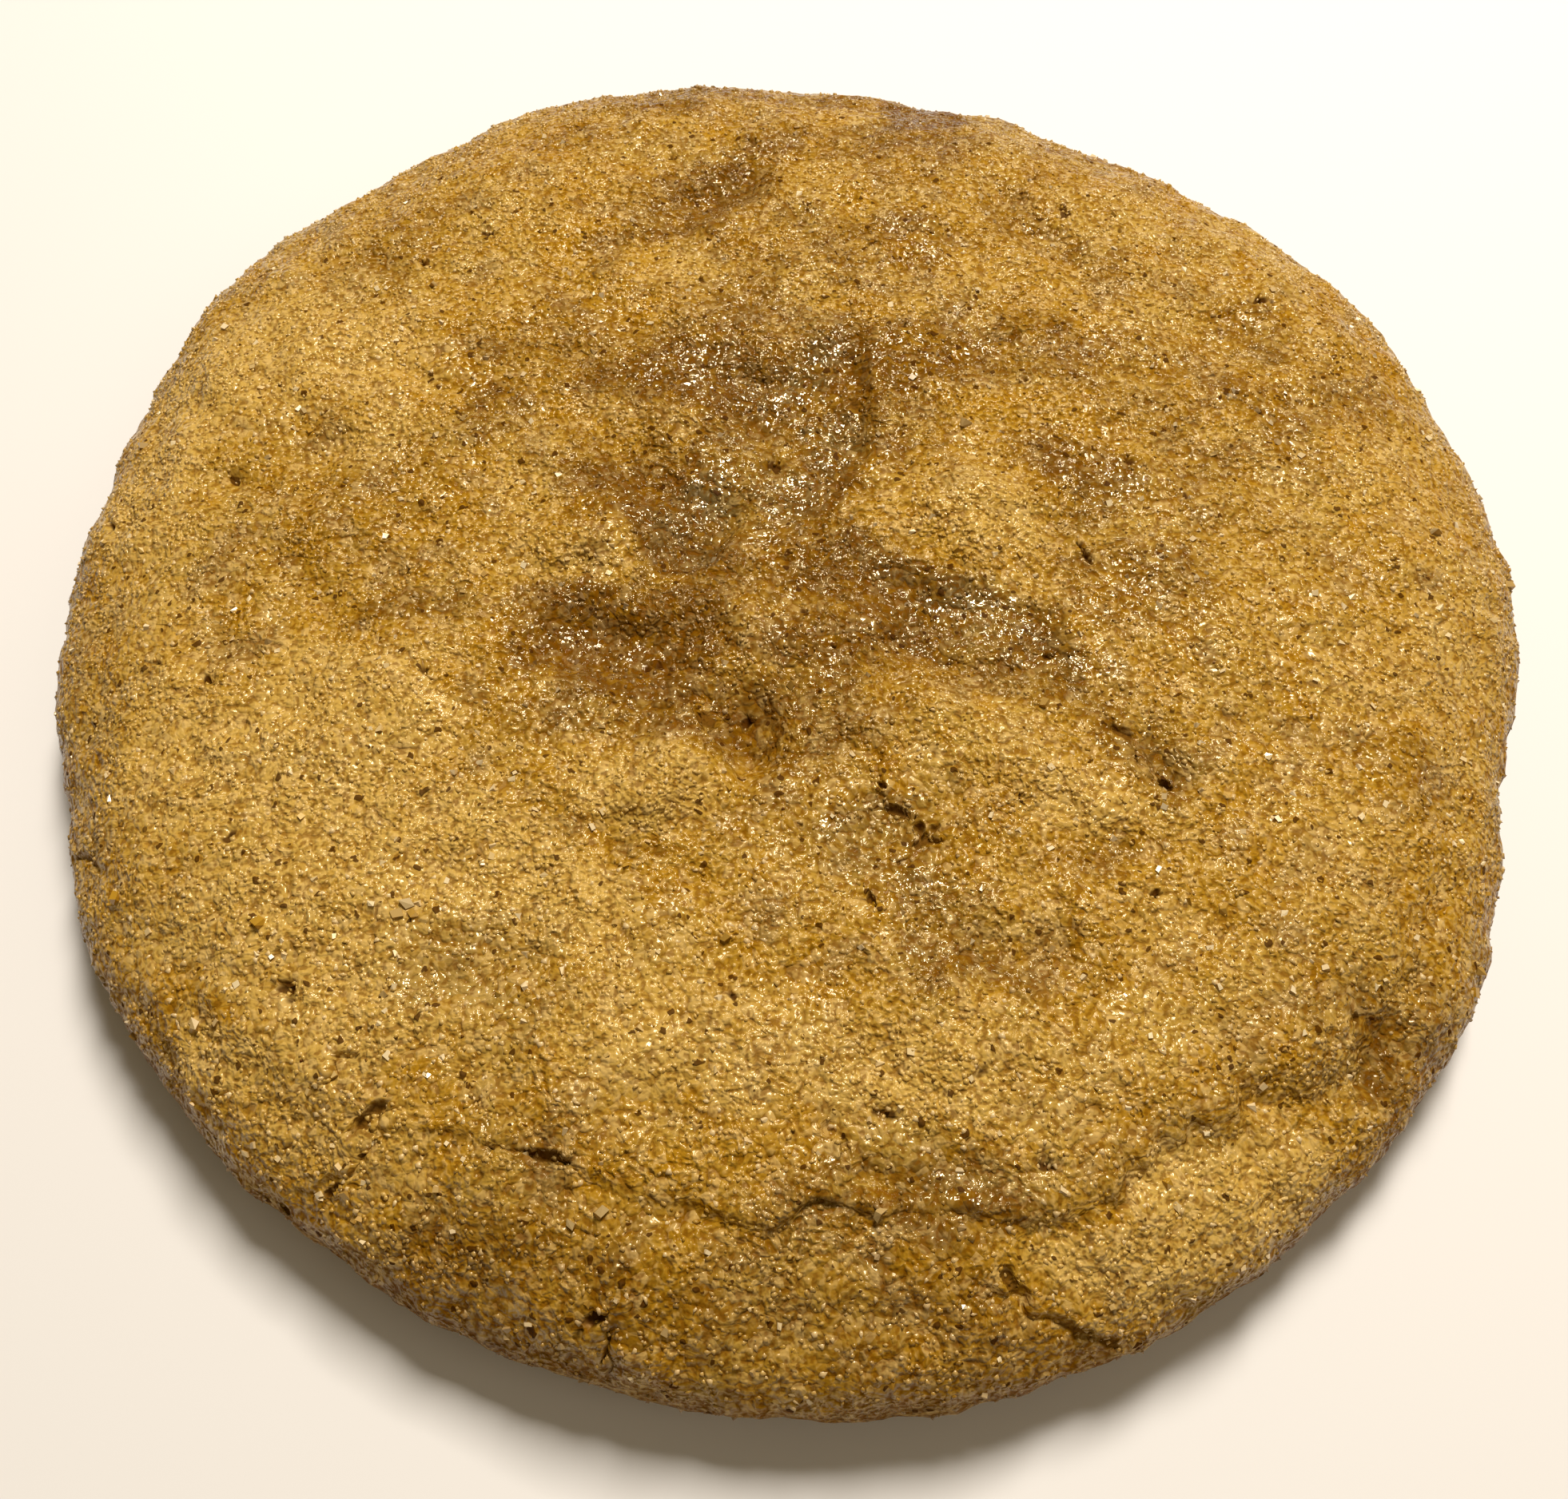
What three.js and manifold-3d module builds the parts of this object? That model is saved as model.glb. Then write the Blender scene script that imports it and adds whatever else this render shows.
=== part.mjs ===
// A snickerdoodle: one soft baked cookie, rolled in sugar and cinnamon, about 100 mm across.
// Millimetres, +Z up. The flat underside lies on Z = 0 with the origin at its middle.
// +X runs to the right and +Y away from the front, where the crust has slipped along a crease.

import * as THREE from 'three';
import { mergeVertices } from 'three/addons/utils/BufferGeometryUtils.js';
import Module from 'manifold-3d';

// Driving dimensions of the whole cookie
const PLAN_RADIUS = 49.9; // widest ring seen from above, before its bulges
const CROWN_HEIGHT = 12; // middle of the top, before the hollows
const RIM_HEIGHT = 9.5; // where the top turns over into the shoulder
const WIDEST_HEIGHT = 3.8; // height of the widest ring above the underside
const SHOULDER_REACH = 9; // plan width of the rounded shoulder
const UNDERCUT_REACH = 4.5; // how far the side draws in below the widest ring
const CROWN_POWER = 4; // a high power keeps the crown flat until close to the shoulder
const RELIEF_FADE = 6; // hollows and mounds die out over this last width of the top

// Outline of the dough as it spread: bearing and spread in degrees, reach in millimetres
const BULGES = [
  { bearing: 33, spread: 14, reach: 1.2 },
  { bearing: 69, spread: 5, reach: 0.5 },
  { bearing: 112, spread: 20, reach: 3.2 },
  { bearing: 146, spread: 14, reach: 2.6 },
  { bearing: 198, spread: 10, reach: -0.7 },
  { bearing: 211, spread: 4.5, reach: 0.5 },
  { bearing: 279, spread: 32, reach: 1.8 },
  { bearing: 342, spread: 11, reach: -1.9 },
];

// Front crease, where the top has slid over the lip: bearing, radius and share of the full drop
const CREASE = [
  { bearing: 226, radius: 44.5, share: 0 },
  { bearing: 238, radius: 43.6, share: 0.25 },
  { bearing: 246, radius: 41.8, share: 0.5 },
  { bearing: 251, radius: 41.2, share: 0.9 },
  { bearing: 263, radius: 42.3, share: 0.8 },
  { bearing: 268.5, radius: 42.6, share: 1 },
  { bearing: 271.5, radius: 41.4, share: 1 },
  { bearing: 277, radius: 42.3, share: 0.9 },
  { bearing: 290, radius: 44.4, share: 1 },
  { bearing: 297, radius: 43.3, share: 0.8 },
  { bearing: 305, radius: 43.4, share: 0.8 },
  { bearing: 312, radius: 45.6, share: 1 },
  { bearing: 324, radius: 45.5, share: 0 },
];
const CREASE_DROP = 1.1; // height lost from the top to the lip
const CREASE_HALF_WIDTH = 0.35; // half the plan width of that step
const GROOVE_DEPTH = 0.5; // extra depth in the corner at the foot of the step
const GROOVE_WIDTH = 0.7;
const LIP_RECOVERY = 7; // plan distance over which the lip comes back to the smooth shoulder

// Hollows of the top: middle, half sizes, turn in degrees and depth. A small edge gives a steep wall.
const HOLLOWS = [
  { x: -1.5, y: 9.5, long: 10.5, wide: 8, turn: 90, depth: 1.5, edge: 0.9 },
  { x: 2.6, y: 11, long: 7, wide: 2.6, turn: 92, depth: 0.9, edge: 0.5 },
  { x: -6, y: 2.8, long: 4.2, wide: 3, turn: 60, depth: 1.1, edge: 0.6 },
  { x: -11.5, y: -6.5, long: 6.4, wide: 4.2, turn: -8, depth: 1.5, edge: 0.6 },
  { x: 1, y: -5, long: 9, wide: 4.4, turn: 0, depth: 0.9, edge: 1 },
  { x: 12.5, y: -7.5, long: 7, wide: 3.2, turn: -22, depth: 0.9, edge: 0.9 },
  { x: -2.6, y: -15.2, long: 4.6, wide: 2.4, turn: -52, depth: 1.3, edge: 0.6 },
  { x: 5, y: -21.5, long: 4, wide: 3.2, turn: 0, depth: 0.5, edge: 1 },
  { x: 8, y: -26, long: 5, wide: 4, turn: -30, depth: 0.7, edge: 0.9 },
  { x: 22, y: -16, long: 4, wide: 2.8, turn: -20, depth: 0.7, edge: 0.8 },
  { x: 17, y: -22.5, long: 4.5, wide: 3.4, turn: 20, depth: 0.4, edge: 1 },
  { x: 19, y: 2, long: 4, wide: 3, turn: 80, depth: 0.4, edge: 1 },
  { x: -5.5, y: 35, long: 9, wide: 4.5, turn: 50, depth: 0.8, edge: 1 },
  { x: 19, y: 27, long: 9, wide: 4, turn: -62, depth: 0.6, edge: 1 },
  { x: 31, y: 18, long: 7, wide: 5, turn: 40, depth: 0.4, edge: 1 },
  { x: -35, y: 8, long: 8, wide: 6, turn: 20, depth: 0.4, edge: 1 },
  { x: -16.5, y: -28, long: 5, wide: 4, turn: 10, depth: 0.5, edge: 1 },
  { x: -30, y: -7, long: 7, wide: 5, turn: -15, depth: 0.3, edge: 1 },
  { x: 5, y: -39.4, long: 6, wide: 2.2, turn: -4, depth: 0.6, edge: 1 },
  { x: 14, y: -28.4, long: 4.5, wide: 1.4, turn: 12, depth: 0.4, edge: 1 },
];

// Mounds of the top, given like the hollows with a height
const MOUNDS = [
  { x: -8, y: -15.8, long: 6, wide: 4, turn: -20, height: 1.1, edge: 0.9 },
  { x: 10.5, y: 5, long: 8, wide: 6, turn: 70, height: 0.7, edge: 0.9 },
  { x: -13, y: 0.5, long: 6, wide: 4.5, turn: 30, height: 0.7, edge: 0.9 },
  { x: 9, y: -14, long: 8, wide: 5, turn: -15, height: 0.5, edge: 1 },
  { x: 16, y: -18.5, long: 5, wide: 4, turn: 0, height: 0.4, edge: 1 },
  { x: -21, y: -14, long: 10, wide: 8, turn: 15, height: 0.4, edge: 1 },
  { x: 27, y: -6, long: 9, wide: 8, turn: 0, height: 0.4, edge: 1 },
  { x: 13, y: -33.5, long: 12, wide: 6, turn: 12, height: 0.5, edge: 1 },
  { x: -6, y: -31.5, long: 11, wide: 7, turn: 0, height: 0.5, edge: 1 },
  { x: -21, y: 10, long: 10, wide: 9, turn: 0, height: 0.4, edge: 1 },
  { x: 8, y: 33, long: 9, wide: 7, turn: 60, height: 0.5, edge: 1 },
  { x: -21, y: 33, long: 10, wide: 7, turn: 40, height: 0.4, edge: 1 },
];
const WANDER = 0.8; // hollows and mounds wander by this much, so that none is a plain oval
const WANDER_PITCH = 2.2; // millimetres for each radian of the wander
const WANDER_PHASE_X = 1.3;
const WANDER_PHASE_Y = 0.4;

// Open holes and cracks in the crust: middle, length, width, turn in degrees and depth
const OPENINGS = [
  { x: -6.5, y: -12.7, length: 3.6, width: 1.2, turn: -16, depth: 1.4 },
  { x: 21.6, y: -16.1, length: 3.4, width: 1.8, turn: -38, depth: 1.0 },
  { x: 7.5, y: -21, length: 3, width: 1.8, turn: -35, depth: 1.5 },
  { x: 5.8, y: -19.4, length: 1.8, width: 0.7, turn: -20, depth: 0.8 },
  { x: 4.3, y: -25.3, length: 1.8, width: 0.7, turn: 100, depth: 0.8 },
  { x: 4.4, y: 11.8, length: 2.4, width: 0.9, turn: 80, depth: 0.9 },
  { x: 19.1, y: -1.3, length: 2.2, width: 0.6, turn: 112, depth: 0.7 },
  { x: -23.2, y: -37.1, length: 3.2, width: 1.3, turn: 30, depth: 1.2 },
  { x: -13.4, y: -39.2, length: 4.2, width: 1.1, turn: -14, depth: 1.6 },
  { x: -25, y: -40.3, length: 2.2, width: 0.9, turn: 25, depth: 1.0 },
  { x: -28.2, y: -40.9, length: 2.4, width: 0.9, turn: -30, depth: 1.0 },
  { x: 31.9, y: -32.4, length: 4, width: 1.3, turn: 78, depth: 1.2 },
  { x: 10.4, y: -45.7, length: 3, width: 1.4, turn: 24, depth: 1.3 },
  { x: 15, y: -47.5, length: 5.6, width: 1, turn: -13, depth: 1.2 },
  { x: -9.7, y: -48.1, length: 3.4, width: 1, turn: 68, depth: 1.1 },
  { x: -42.8, y: -20.8, length: 3.4, width: 1.3, turn: 28, depth: 1.1 },
];
const OPENING_SIDES = 8;
const OPENING_ROWS = 5;

// Coarse sugar crystals baked onto the top
const CRYSTAL_COUNT = 64;
const CRYSTAL_SMALLEST = 0.8;
const CRYSTAL_LARGEST = 1.25;
const CRYSTAL_FIELD = 45; // plan radius that the crystals cover
const CRYSTAL_JITTER = 1.6;
const CRYSTAL_SUNK = 0.1; // how far a crystal's middle lies under the crust
const CRYSTAL_CLEARANCE = 2.6; // from the middle of any opening
const CRYSTAL_SEED = 20;

// Fineness of the faceted surface
const TOP_RINGS = 24; // inside the crease
const RING_GROWTH = 6; // more points on each of those rings than on the one inside it
const SIDE_POINTS = 180; // on each ring outside the crease
const SHOULDER_ROWS = 6;
const UNDERCUT_ROWS = 4;
const UNDERSIDE_RINGS = [
  { points: 36, radius: 36 },
  { points: 6, radius: 20 },
]; // few and large facets on the flat underside
const CREASE_ROWS = [-1.2, -CREASE_HALF_WIDTH, CREASE_HALF_WIDTH, 1.4]; // plan distances from the crease

const DOUGH = { color: 0xb98d47, roughness: 0.75, metalness: 0 };

const TURN = Math.PI * 2;
const toRadians = THREE.MathUtils.degToRad;
const { clamp, lerp, smoothstep } = THREE.MathUtils;

// Signed difference of two bearings in degrees, from -180 to 180
function bearingGap(a, b) {
  return ((((a - b) % 360) + 540) % 360) - 180;
}

function planRadius(bearing) {
  let radius = PLAN_RADIUS;
  for (const bulge of BULGES) {
    const gap = bearingGap(bearing, bulge.bearing) / bulge.spread;
    radius += bulge.reach * Math.exp(-gap * gap);
  }
  return radius;
}

// Radius of the crease at a bearing and its share of the full drop
function creaseAt(bearing) {
  const first = CREASE[0];
  const last = CREASE[CREASE.length - 1];
  if (bearing <= first.bearing || bearing >= last.bearing) {
    // Round the back the two ends of the crease are joined by an even ring without any drop
    const gap = ((bearing - last.bearing + 360) % 360) / (first.bearing + 360 - last.bearing);
    return { radius: lerp(last.radius, first.radius, gap), share: 0 };
  }
  const next = CREASE.findIndex((point) => point.bearing > bearing);
  const before = CREASE[next - 1];
  const after = CREASE[next];
  const way = smoothstep(bearing, before.bearing, after.bearing);
  return {
    radius: lerp(before.radius, after.radius, way),
    share: lerp(before.share, after.share, way),
  };
}

// One at the middle of an oval spot, zero from its edge outwards
function spotShare(spot, x, y) {
  const turn = toRadians(spot.turn);
  const dx = x - spot.x;
  const dy = y - spot.y;
  const along = (dx * Math.cos(turn) + dy * Math.sin(turn)) / spot.long;
  const across = (dy * Math.cos(turn) - dx * Math.sin(turn)) / spot.wide;
  return smoothstep((1 - Math.hypot(along, across)) / spot.edge, 0, 1);
}

function softRelief(x, y) {
  const wanderedX = x + WANDER * Math.sin(y / WANDER_PITCH + WANDER_PHASE_X);
  const wanderedY = y + WANDER * Math.sin(x / WANDER_PITCH + WANDER_PHASE_Y);
  let relief = 0;
  for (const hollow of HOLLOWS) {
    relief -= hollow.depth * spotShare(hollow, wanderedX, wanderedY);
  }
  for (const mound of MOUNDS) {
    relief += mound.height * spotShare(mound, wanderedX, wanderedY);
  }
  return relief;
}

// Change of height that the crease makes at a plan distance outside it
function creaseRelief(distance, share) {
  const step = smoothstep(distance, -CREASE_HALF_WIDTH, CREASE_HALF_WIDTH);
  const recovery = 1 - smoothstep(distance, 0, LIP_RECOVERY);
  const groove = Math.exp(-(((distance - CREASE_HALF_WIDTH) / GROOVE_WIDTH) ** 2));
  return -share * (CREASE_DROP * step * recovery + GROOVE_DEPTH * groove);
}

function topHeight(x, y) {
  const radius = Math.hypot(x, y);
  const bearing = (THREE.MathUtils.radToDeg(Math.atan2(y, x)) + 360) % 360;
  const widest = planRadius(bearing);
  const crownShare = Math.max(0, 1 - (radius / (widest - SHOULDER_REACH / 2)) ** CROWN_POWER);
  const shoulder = clamp((radius - widest + SHOULDER_REACH) / SHOULDER_REACH, 0, 1);
  const rim = (RIM_HEIGHT - WIDEST_HEIGHT) * Math.sqrt(1 - shoulder * shoulder);
  const smooth = WIDEST_HEIGHT + rim + (CROWN_HEIGHT - RIM_HEIGHT) * crownShare;
  const crease = creaseAt(bearing);
  const fade = smoothstep(widest - radius, 0, RELIEF_FADE);
  return smooth + fade * softRelief(x, y) + creaseRelief(radius - crease.radius, crease.share);
}

// A ring of points round the cookie, each placed by its bearing. Without a height it lies on the top.
function ringOf(count, place) {
  const points = [];
  for (let number = 0; number < count; number += 1) {
    const bearing = (360 * number) / count;
    const { radius, height } = place(bearing);
    const x = radius * Math.cos(toRadians(bearing));
    const y = radius * Math.sin(toRadians(bearing));
    points.push(new THREE.Vector3(x, y, height ?? topHeight(x, y)));
  }
  return points;
}

// All rings of the skin, from the middle of the top over the rim to the middle of the underside
function skinRings() {
  const rings = [[new THREE.Vector3(0, 0, topHeight(0, 0))]];
  for (let ring = 1; ring <= TOP_RINGS; ring += 1) {
    const share = ring / TOP_RINGS;
    rings.push(ringOf(RING_GROWTH * ring, (bearing) => ({
      radius: (creaseAt(bearing).radius + CREASE_ROWS[0]) * share,
    })));
  }
  for (const distance of CREASE_ROWS.slice(1)) {
    rings.push(ringOf(SIDE_POINTS, (bearing) => ({ radius: creaseAt(bearing).radius + distance })));
  }
  const lipStart = CREASE_ROWS[CREASE_ROWS.length - 1];
  for (let row = 1; row <= SHOULDER_ROWS; row += 1) {
    const share = Math.sin((TURN / 4) * (row / SHOULDER_ROWS));
    rings.push(ringOf(SIDE_POINTS, (bearing) => ({
      radius: lerp(creaseAt(bearing).radius + lipStart, planRadius(bearing), share),
    })));
  }
  for (let row = 1; row <= UNDERCUT_ROWS; row += 1) {
    const angle = (TURN / 4) * (row / UNDERCUT_ROWS);
    rings.push(ringOf(SIDE_POINTS, (bearing) => ({
      radius: planRadius(bearing) - UNDERCUT_REACH * (1 - Math.cos(angle)),
      height: WIDEST_HEIGHT * (1 - Math.sin(angle)),
    })));
  }
  for (const { points, radius } of UNDERSIDE_RINGS) {
    rings.push(ringOf(points, () => ({ radius, height: 0 })));
  }
  rings.push([new THREE.Vector3(0, 0, 0)]);
  return rings;
}

// Triangles between two neighbouring rings, given as lists of vertex numbers
function stitch(inner, outer) {
  const triangles = [];
  const innerSteps = inner.length > 1 ? inner.length : 0;
  const outerSteps = outer.length > 1 ? outer.length : 0;
  let i = 0;
  let j = 0;
  while (i < innerSteps || j < outerSteps) {
    const from = inner[i % inner.length];
    const to = outer[j % outer.length];
    const outerNext = i >= innerSteps || (j < outerSteps && (j + 1) * innerSteps <= (i + 1) * outerSteps);
    if (outerNext) {
      triangles.push(from, to, outer[(j + 1) % outer.length]);
      j += 1;
    } else {
      triangles.push(from, to, inner[(i + 1) % inner.length]);
      i += 1;
    }
  }
  return triangles;
}

function skinGeometry() {
  const points = [];
  const index = [];
  let inner = null;
  for (const ring of skinRings()) {
    const numbers = ring.map((point, place) => points.length + place);
    points.push(...ring);
    if (inner) {
      index.push(...stitch(inner, numbers));
    }
    inner = numbers;
  }
  const geometry = new THREE.BufferGeometry().setFromPoints(points);
  geometry.setIndex(index);
  return geometry;
}

// A low oval cutter whose middle lies on the crust
function openingGeometry(opening) {
  const geometry = new THREE.SphereGeometry(1, OPENING_SIDES, OPENING_ROWS);
  geometry.rotateX(TURN / 4);
  geometry.scale(opening.length / 2, opening.width / 2, opening.depth);
  geometry.rotateZ(toRadians(opening.turn));
  geometry.translate(opening.x, opening.y, topHeight(opening.x, opening.y));
  return geometry;
}

// Repeatable random numbers from zero to one
const DRAW_FACTOR = 16807;
const DRAW_PRIME = 2147483647;

function seededDraws(seed) {
  let state = seed;
  return () => {
    state = (state * DRAW_FACTOR) % DRAW_PRIME;
    return state / DRAW_PRIME;
  };
}

// Sugar crystals spread evenly on a sunflower spiral, each a small tumbled block half sunk in the crust
function crystalGeometries() {
  const draw = seededDraws(CRYSTAL_SEED);
  const goldenTurn = Math.PI * (3 - Math.sqrt(5));
  const crystals = [];
  for (let number = 0; number < CRYSTAL_COUNT; number += 1) {
    const radius = CRYSTAL_FIELD * Math.sqrt((number + 0.5) / CRYSTAL_COUNT);
    const x = radius * Math.cos(number * goldenTurn) + CRYSTAL_JITTER * (2 * draw() - 1);
    const y = radius * Math.sin(number * goldenTurn) + CRYSTAL_JITTER * (2 * draw() - 1);
    const sides = [0, 1, 2].map(() => lerp(CRYSTAL_SMALLEST, CRYSTAL_LARGEST, draw()));
    const block = new THREE.BoxGeometry(...sides);
    block.rotateX(draw() * TURN);
    block.rotateY(draw() * TURN);
    block.rotateZ(draw() * TURN);
    block.translate(x, y, topHeight(x, y) - CRYSTAL_SUNK);
    const clear = OPENINGS.every((hole) => Math.hypot(hole.x - x, hole.y - y) > CRYSTAL_CLEARANCE);
    if (clear) {
      crystals.push(block);
    }
  }
  return crystals;
}

const wasm = await Module();
wasm.setup();

function solidOf(geometry) {
  geometry.deleteAttribute('normal');
  geometry.deleteAttribute('uv');
  const merged = mergeVertices(geometry);
  return new wasm.Manifold(new wasm.Mesh({
    numProp: 3,
    vertProperties: Float32Array.from(merged.attributes.position.array),
    triVerts: Uint32Array.from(merged.index.array),
  }));
}

function geometryOf(solid) {
  const mesh = solid.getMesh();
  const geometry = new THREE.BufferGeometry();
  geometry.setAttribute('position', new THREE.BufferAttribute(mesh.vertProperties, 3));
  geometry.setIndex(new THREE.BufferAttribute(mesh.triVerts, 1));
  geometry.computeVertexNormals();
  return geometry;
}

function cookieGeometry() {
  let solid = solidOf(skinGeometry());
  for (const opening of OPENINGS) {
    solid = solid.subtract(solidOf(openingGeometry(opening)));
  }
  for (const crystal of crystalGeometries()) {
    solid = solid.add(solidOf(crystal));
  }
  const geometry = geometryOf(solid);
  geometry.computeBoundingBox();
  const middle = geometry.boundingBox.getCenter(new THREE.Vector3());
  geometry.translate(-middle.x, -middle.y, 0);
  return geometry;
}

const cookie = new THREE.Mesh(cookieGeometry(), new THREE.MeshStandardMaterial(DOUGH));
cookie.name = 'cookie';

const snickerdoodle = new THREE.Group();
snickerdoodle.add(cookie);

export default snickerdoodle;
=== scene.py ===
# %% [markdown]
# A snickerdoodle: a soft cookie whose ball of dough was rolled in sugar and cinnamon before it
# spread in the oven. This lesson makes its looks in Blender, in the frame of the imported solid.
# The crust is one fine mesh with the outline of the solid, worked out from named hollows, mounds,
# tears and holes. Geometry Nodes then roughen it, and scatter the sugar and the cinnamon over it.

# %% Load the frame
import math

import bpy
import numpy as np
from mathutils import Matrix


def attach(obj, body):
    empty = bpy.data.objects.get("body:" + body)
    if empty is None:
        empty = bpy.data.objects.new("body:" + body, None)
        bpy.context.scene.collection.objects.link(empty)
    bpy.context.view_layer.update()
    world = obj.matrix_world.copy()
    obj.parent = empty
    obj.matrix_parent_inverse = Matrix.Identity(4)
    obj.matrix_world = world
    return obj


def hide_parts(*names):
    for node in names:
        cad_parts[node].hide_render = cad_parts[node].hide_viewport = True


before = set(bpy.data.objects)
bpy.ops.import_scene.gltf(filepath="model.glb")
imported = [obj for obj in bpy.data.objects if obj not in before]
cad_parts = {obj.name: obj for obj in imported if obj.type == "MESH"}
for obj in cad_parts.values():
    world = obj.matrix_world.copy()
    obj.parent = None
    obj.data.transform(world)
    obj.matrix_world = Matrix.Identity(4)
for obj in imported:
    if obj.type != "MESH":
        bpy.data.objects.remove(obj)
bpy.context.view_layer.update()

MM = 0.001

# %% [markdown]
# The outline. Dough spreads unevenly, so the cookie is a circle with a few broad bulges and dents.
# Each is a bell curve over the bearing, in degrees, that adds to or takes from the plan radius.
# A sum of bells stays smooth, and each bulge can be moved without disturbing the others.

# %% The outline of the cookie, in millimetres
PLAN_RADIUS = 49.9
BULGES = [  # bearing, spread, reach
    (33, 14, 1.2),
    (69, 5, 0.5),
    (112, 20, 3.2),
    (146, 14, 2.6),
    (198, 10, -0.7),
    (211, 4.5, 0.5),
    (279, 32, 1.8),
    (342, 11, -1.9),
]


def plan_radius(bearing):
    radius = np.full_like(bearing, PLAN_RADIUS)
    for middle, spread, reach in BULGES:
        gap = (bearing - middle + 180) % 360 - 180
        radius += reach * np.exp(-((gap / spread) ** 2))
    return radius


OUTLINE_STEPS = 180
outline_bearing = np.linspace(0, 360, OUTLINE_STEPS, endpoint=False)
outline_radius = plan_radius(outline_bearing)
outline_x = outline_radius * np.cos(np.radians(outline_bearing))
outline_y = outline_radius * np.sin(np.radians(outline_bearing))
MIDDLE_X = (outline_x.max() + outline_x.min()) / 2
MIDDLE_Y = (outline_y.max() + outline_y.min()) / 2
print("the box's middle lies at", round(MIDDLE_X, 3), round(MIDDLE_Y, 3), "mm of the bearings' middle")

# %% [markdown]
# The relief of the top. In the oven the middle rises, then sinks into glossy hollows between mounds.
# They could be sculpted, but a list of ovals with soft edges is easy to read and to move. Each row
# is one hollow or mound of the cookie.

# %% Hollows and mounds, in millimetres
HOLLOWS = [  # x, y, half length, half width, turn, depth, edge
    (-1, 9, 12, 8, 95, 1.0, 1),
    (-3.5, 13.3, 4.5, 2.6, 10, 0.6, 1),
    (-5.6, 1.5, 4, 3.2, 60, 1.2, 0.8),
    (-9, 5.2, 5, 3, -40, 0.6, 1),
    (-10.6, -8.4, 7.5, 3.9, -6, 1.2, 1),
    (-3.4, -13.6, 4.2, 3, -60, 1.2, 0.9),
    (8, -7, 7.5, 3.5, -24, 0.9, 1),
    (15, -9, 5, 2.4, -40, 0.8, 1),
    (4.5, -21.5, 5, 4, 0, 0.6, 1),
    (8, -26, 6, 4.4, -30, 0.7, 1),
    (21.5, -15.8, 4.4, 2.8, -40, 0.9, 1),
    (17.5, -23, 5, 3, 20, 0.5, 1),
    (18.5, 2.5, 4.5, 3, 80, 0.6, 1),
    (-6.5, 32.5, 9, 4.5, 48, 1.0, 1),
    (18, 29, 9, 3, -64, 0.7, 1),
    (31, 17, 8, 5, -40, 0.5, 1),
    (-34, 7, 8, 6, 20, 0.5, 1),
    (-18.5, -28.8, 5, 4, 10, 0.5, 1),
    (-30, -3, 7, 5, -15, 0.5, 1),
    (6, -41, 7, 2.4, -4, 0.7, 1),
    (13, -28.4, 5, 1.8, 22, 0.5, 1),
    (33, -32, 5, 4, 40, 0.35, 1),
]
MOUNDS = [  # x, y, half length, half width, turn, height, edge
    (-8, -16.5, 6, 5, 0, 1.3, 0.9),
    (11.6, 2.4, 8.5, 5.4, 0, 1.1, 1),
    (-13, 0.8, 6, 4, 10, 0.9, 1),
    (2, -8.5, 4.5, 3, 20, 0.6, 1),
    (-2.5, -7.5, 3.5, 2.6, 60, 0.4, 1),
    (10, -14, 8, 5, -15, 0.6, 1),
    (15, -18, 5, 4.5, 0, 0.6, 1),
    (-25, -12, 11, 8, 15, 0.6, 1),
    (28, -7, 10, 8, 0, 0.6, 1),
    (13, -34, 12, 6, 12, 0.5, 1),
    (-7, -31.5, 12, 7, 0, 0.6, 1),
    (-34, 17, 11, 8, 30, 0.6, 1),
    (9, 33, 10, 7, 60, 0.6, 1),
    (-21, 34, 11, 7, 40, 0.5, 1),
]
print(len(HOLLOWS), "hollows and", len(MOUNDS), "mounds")
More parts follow.
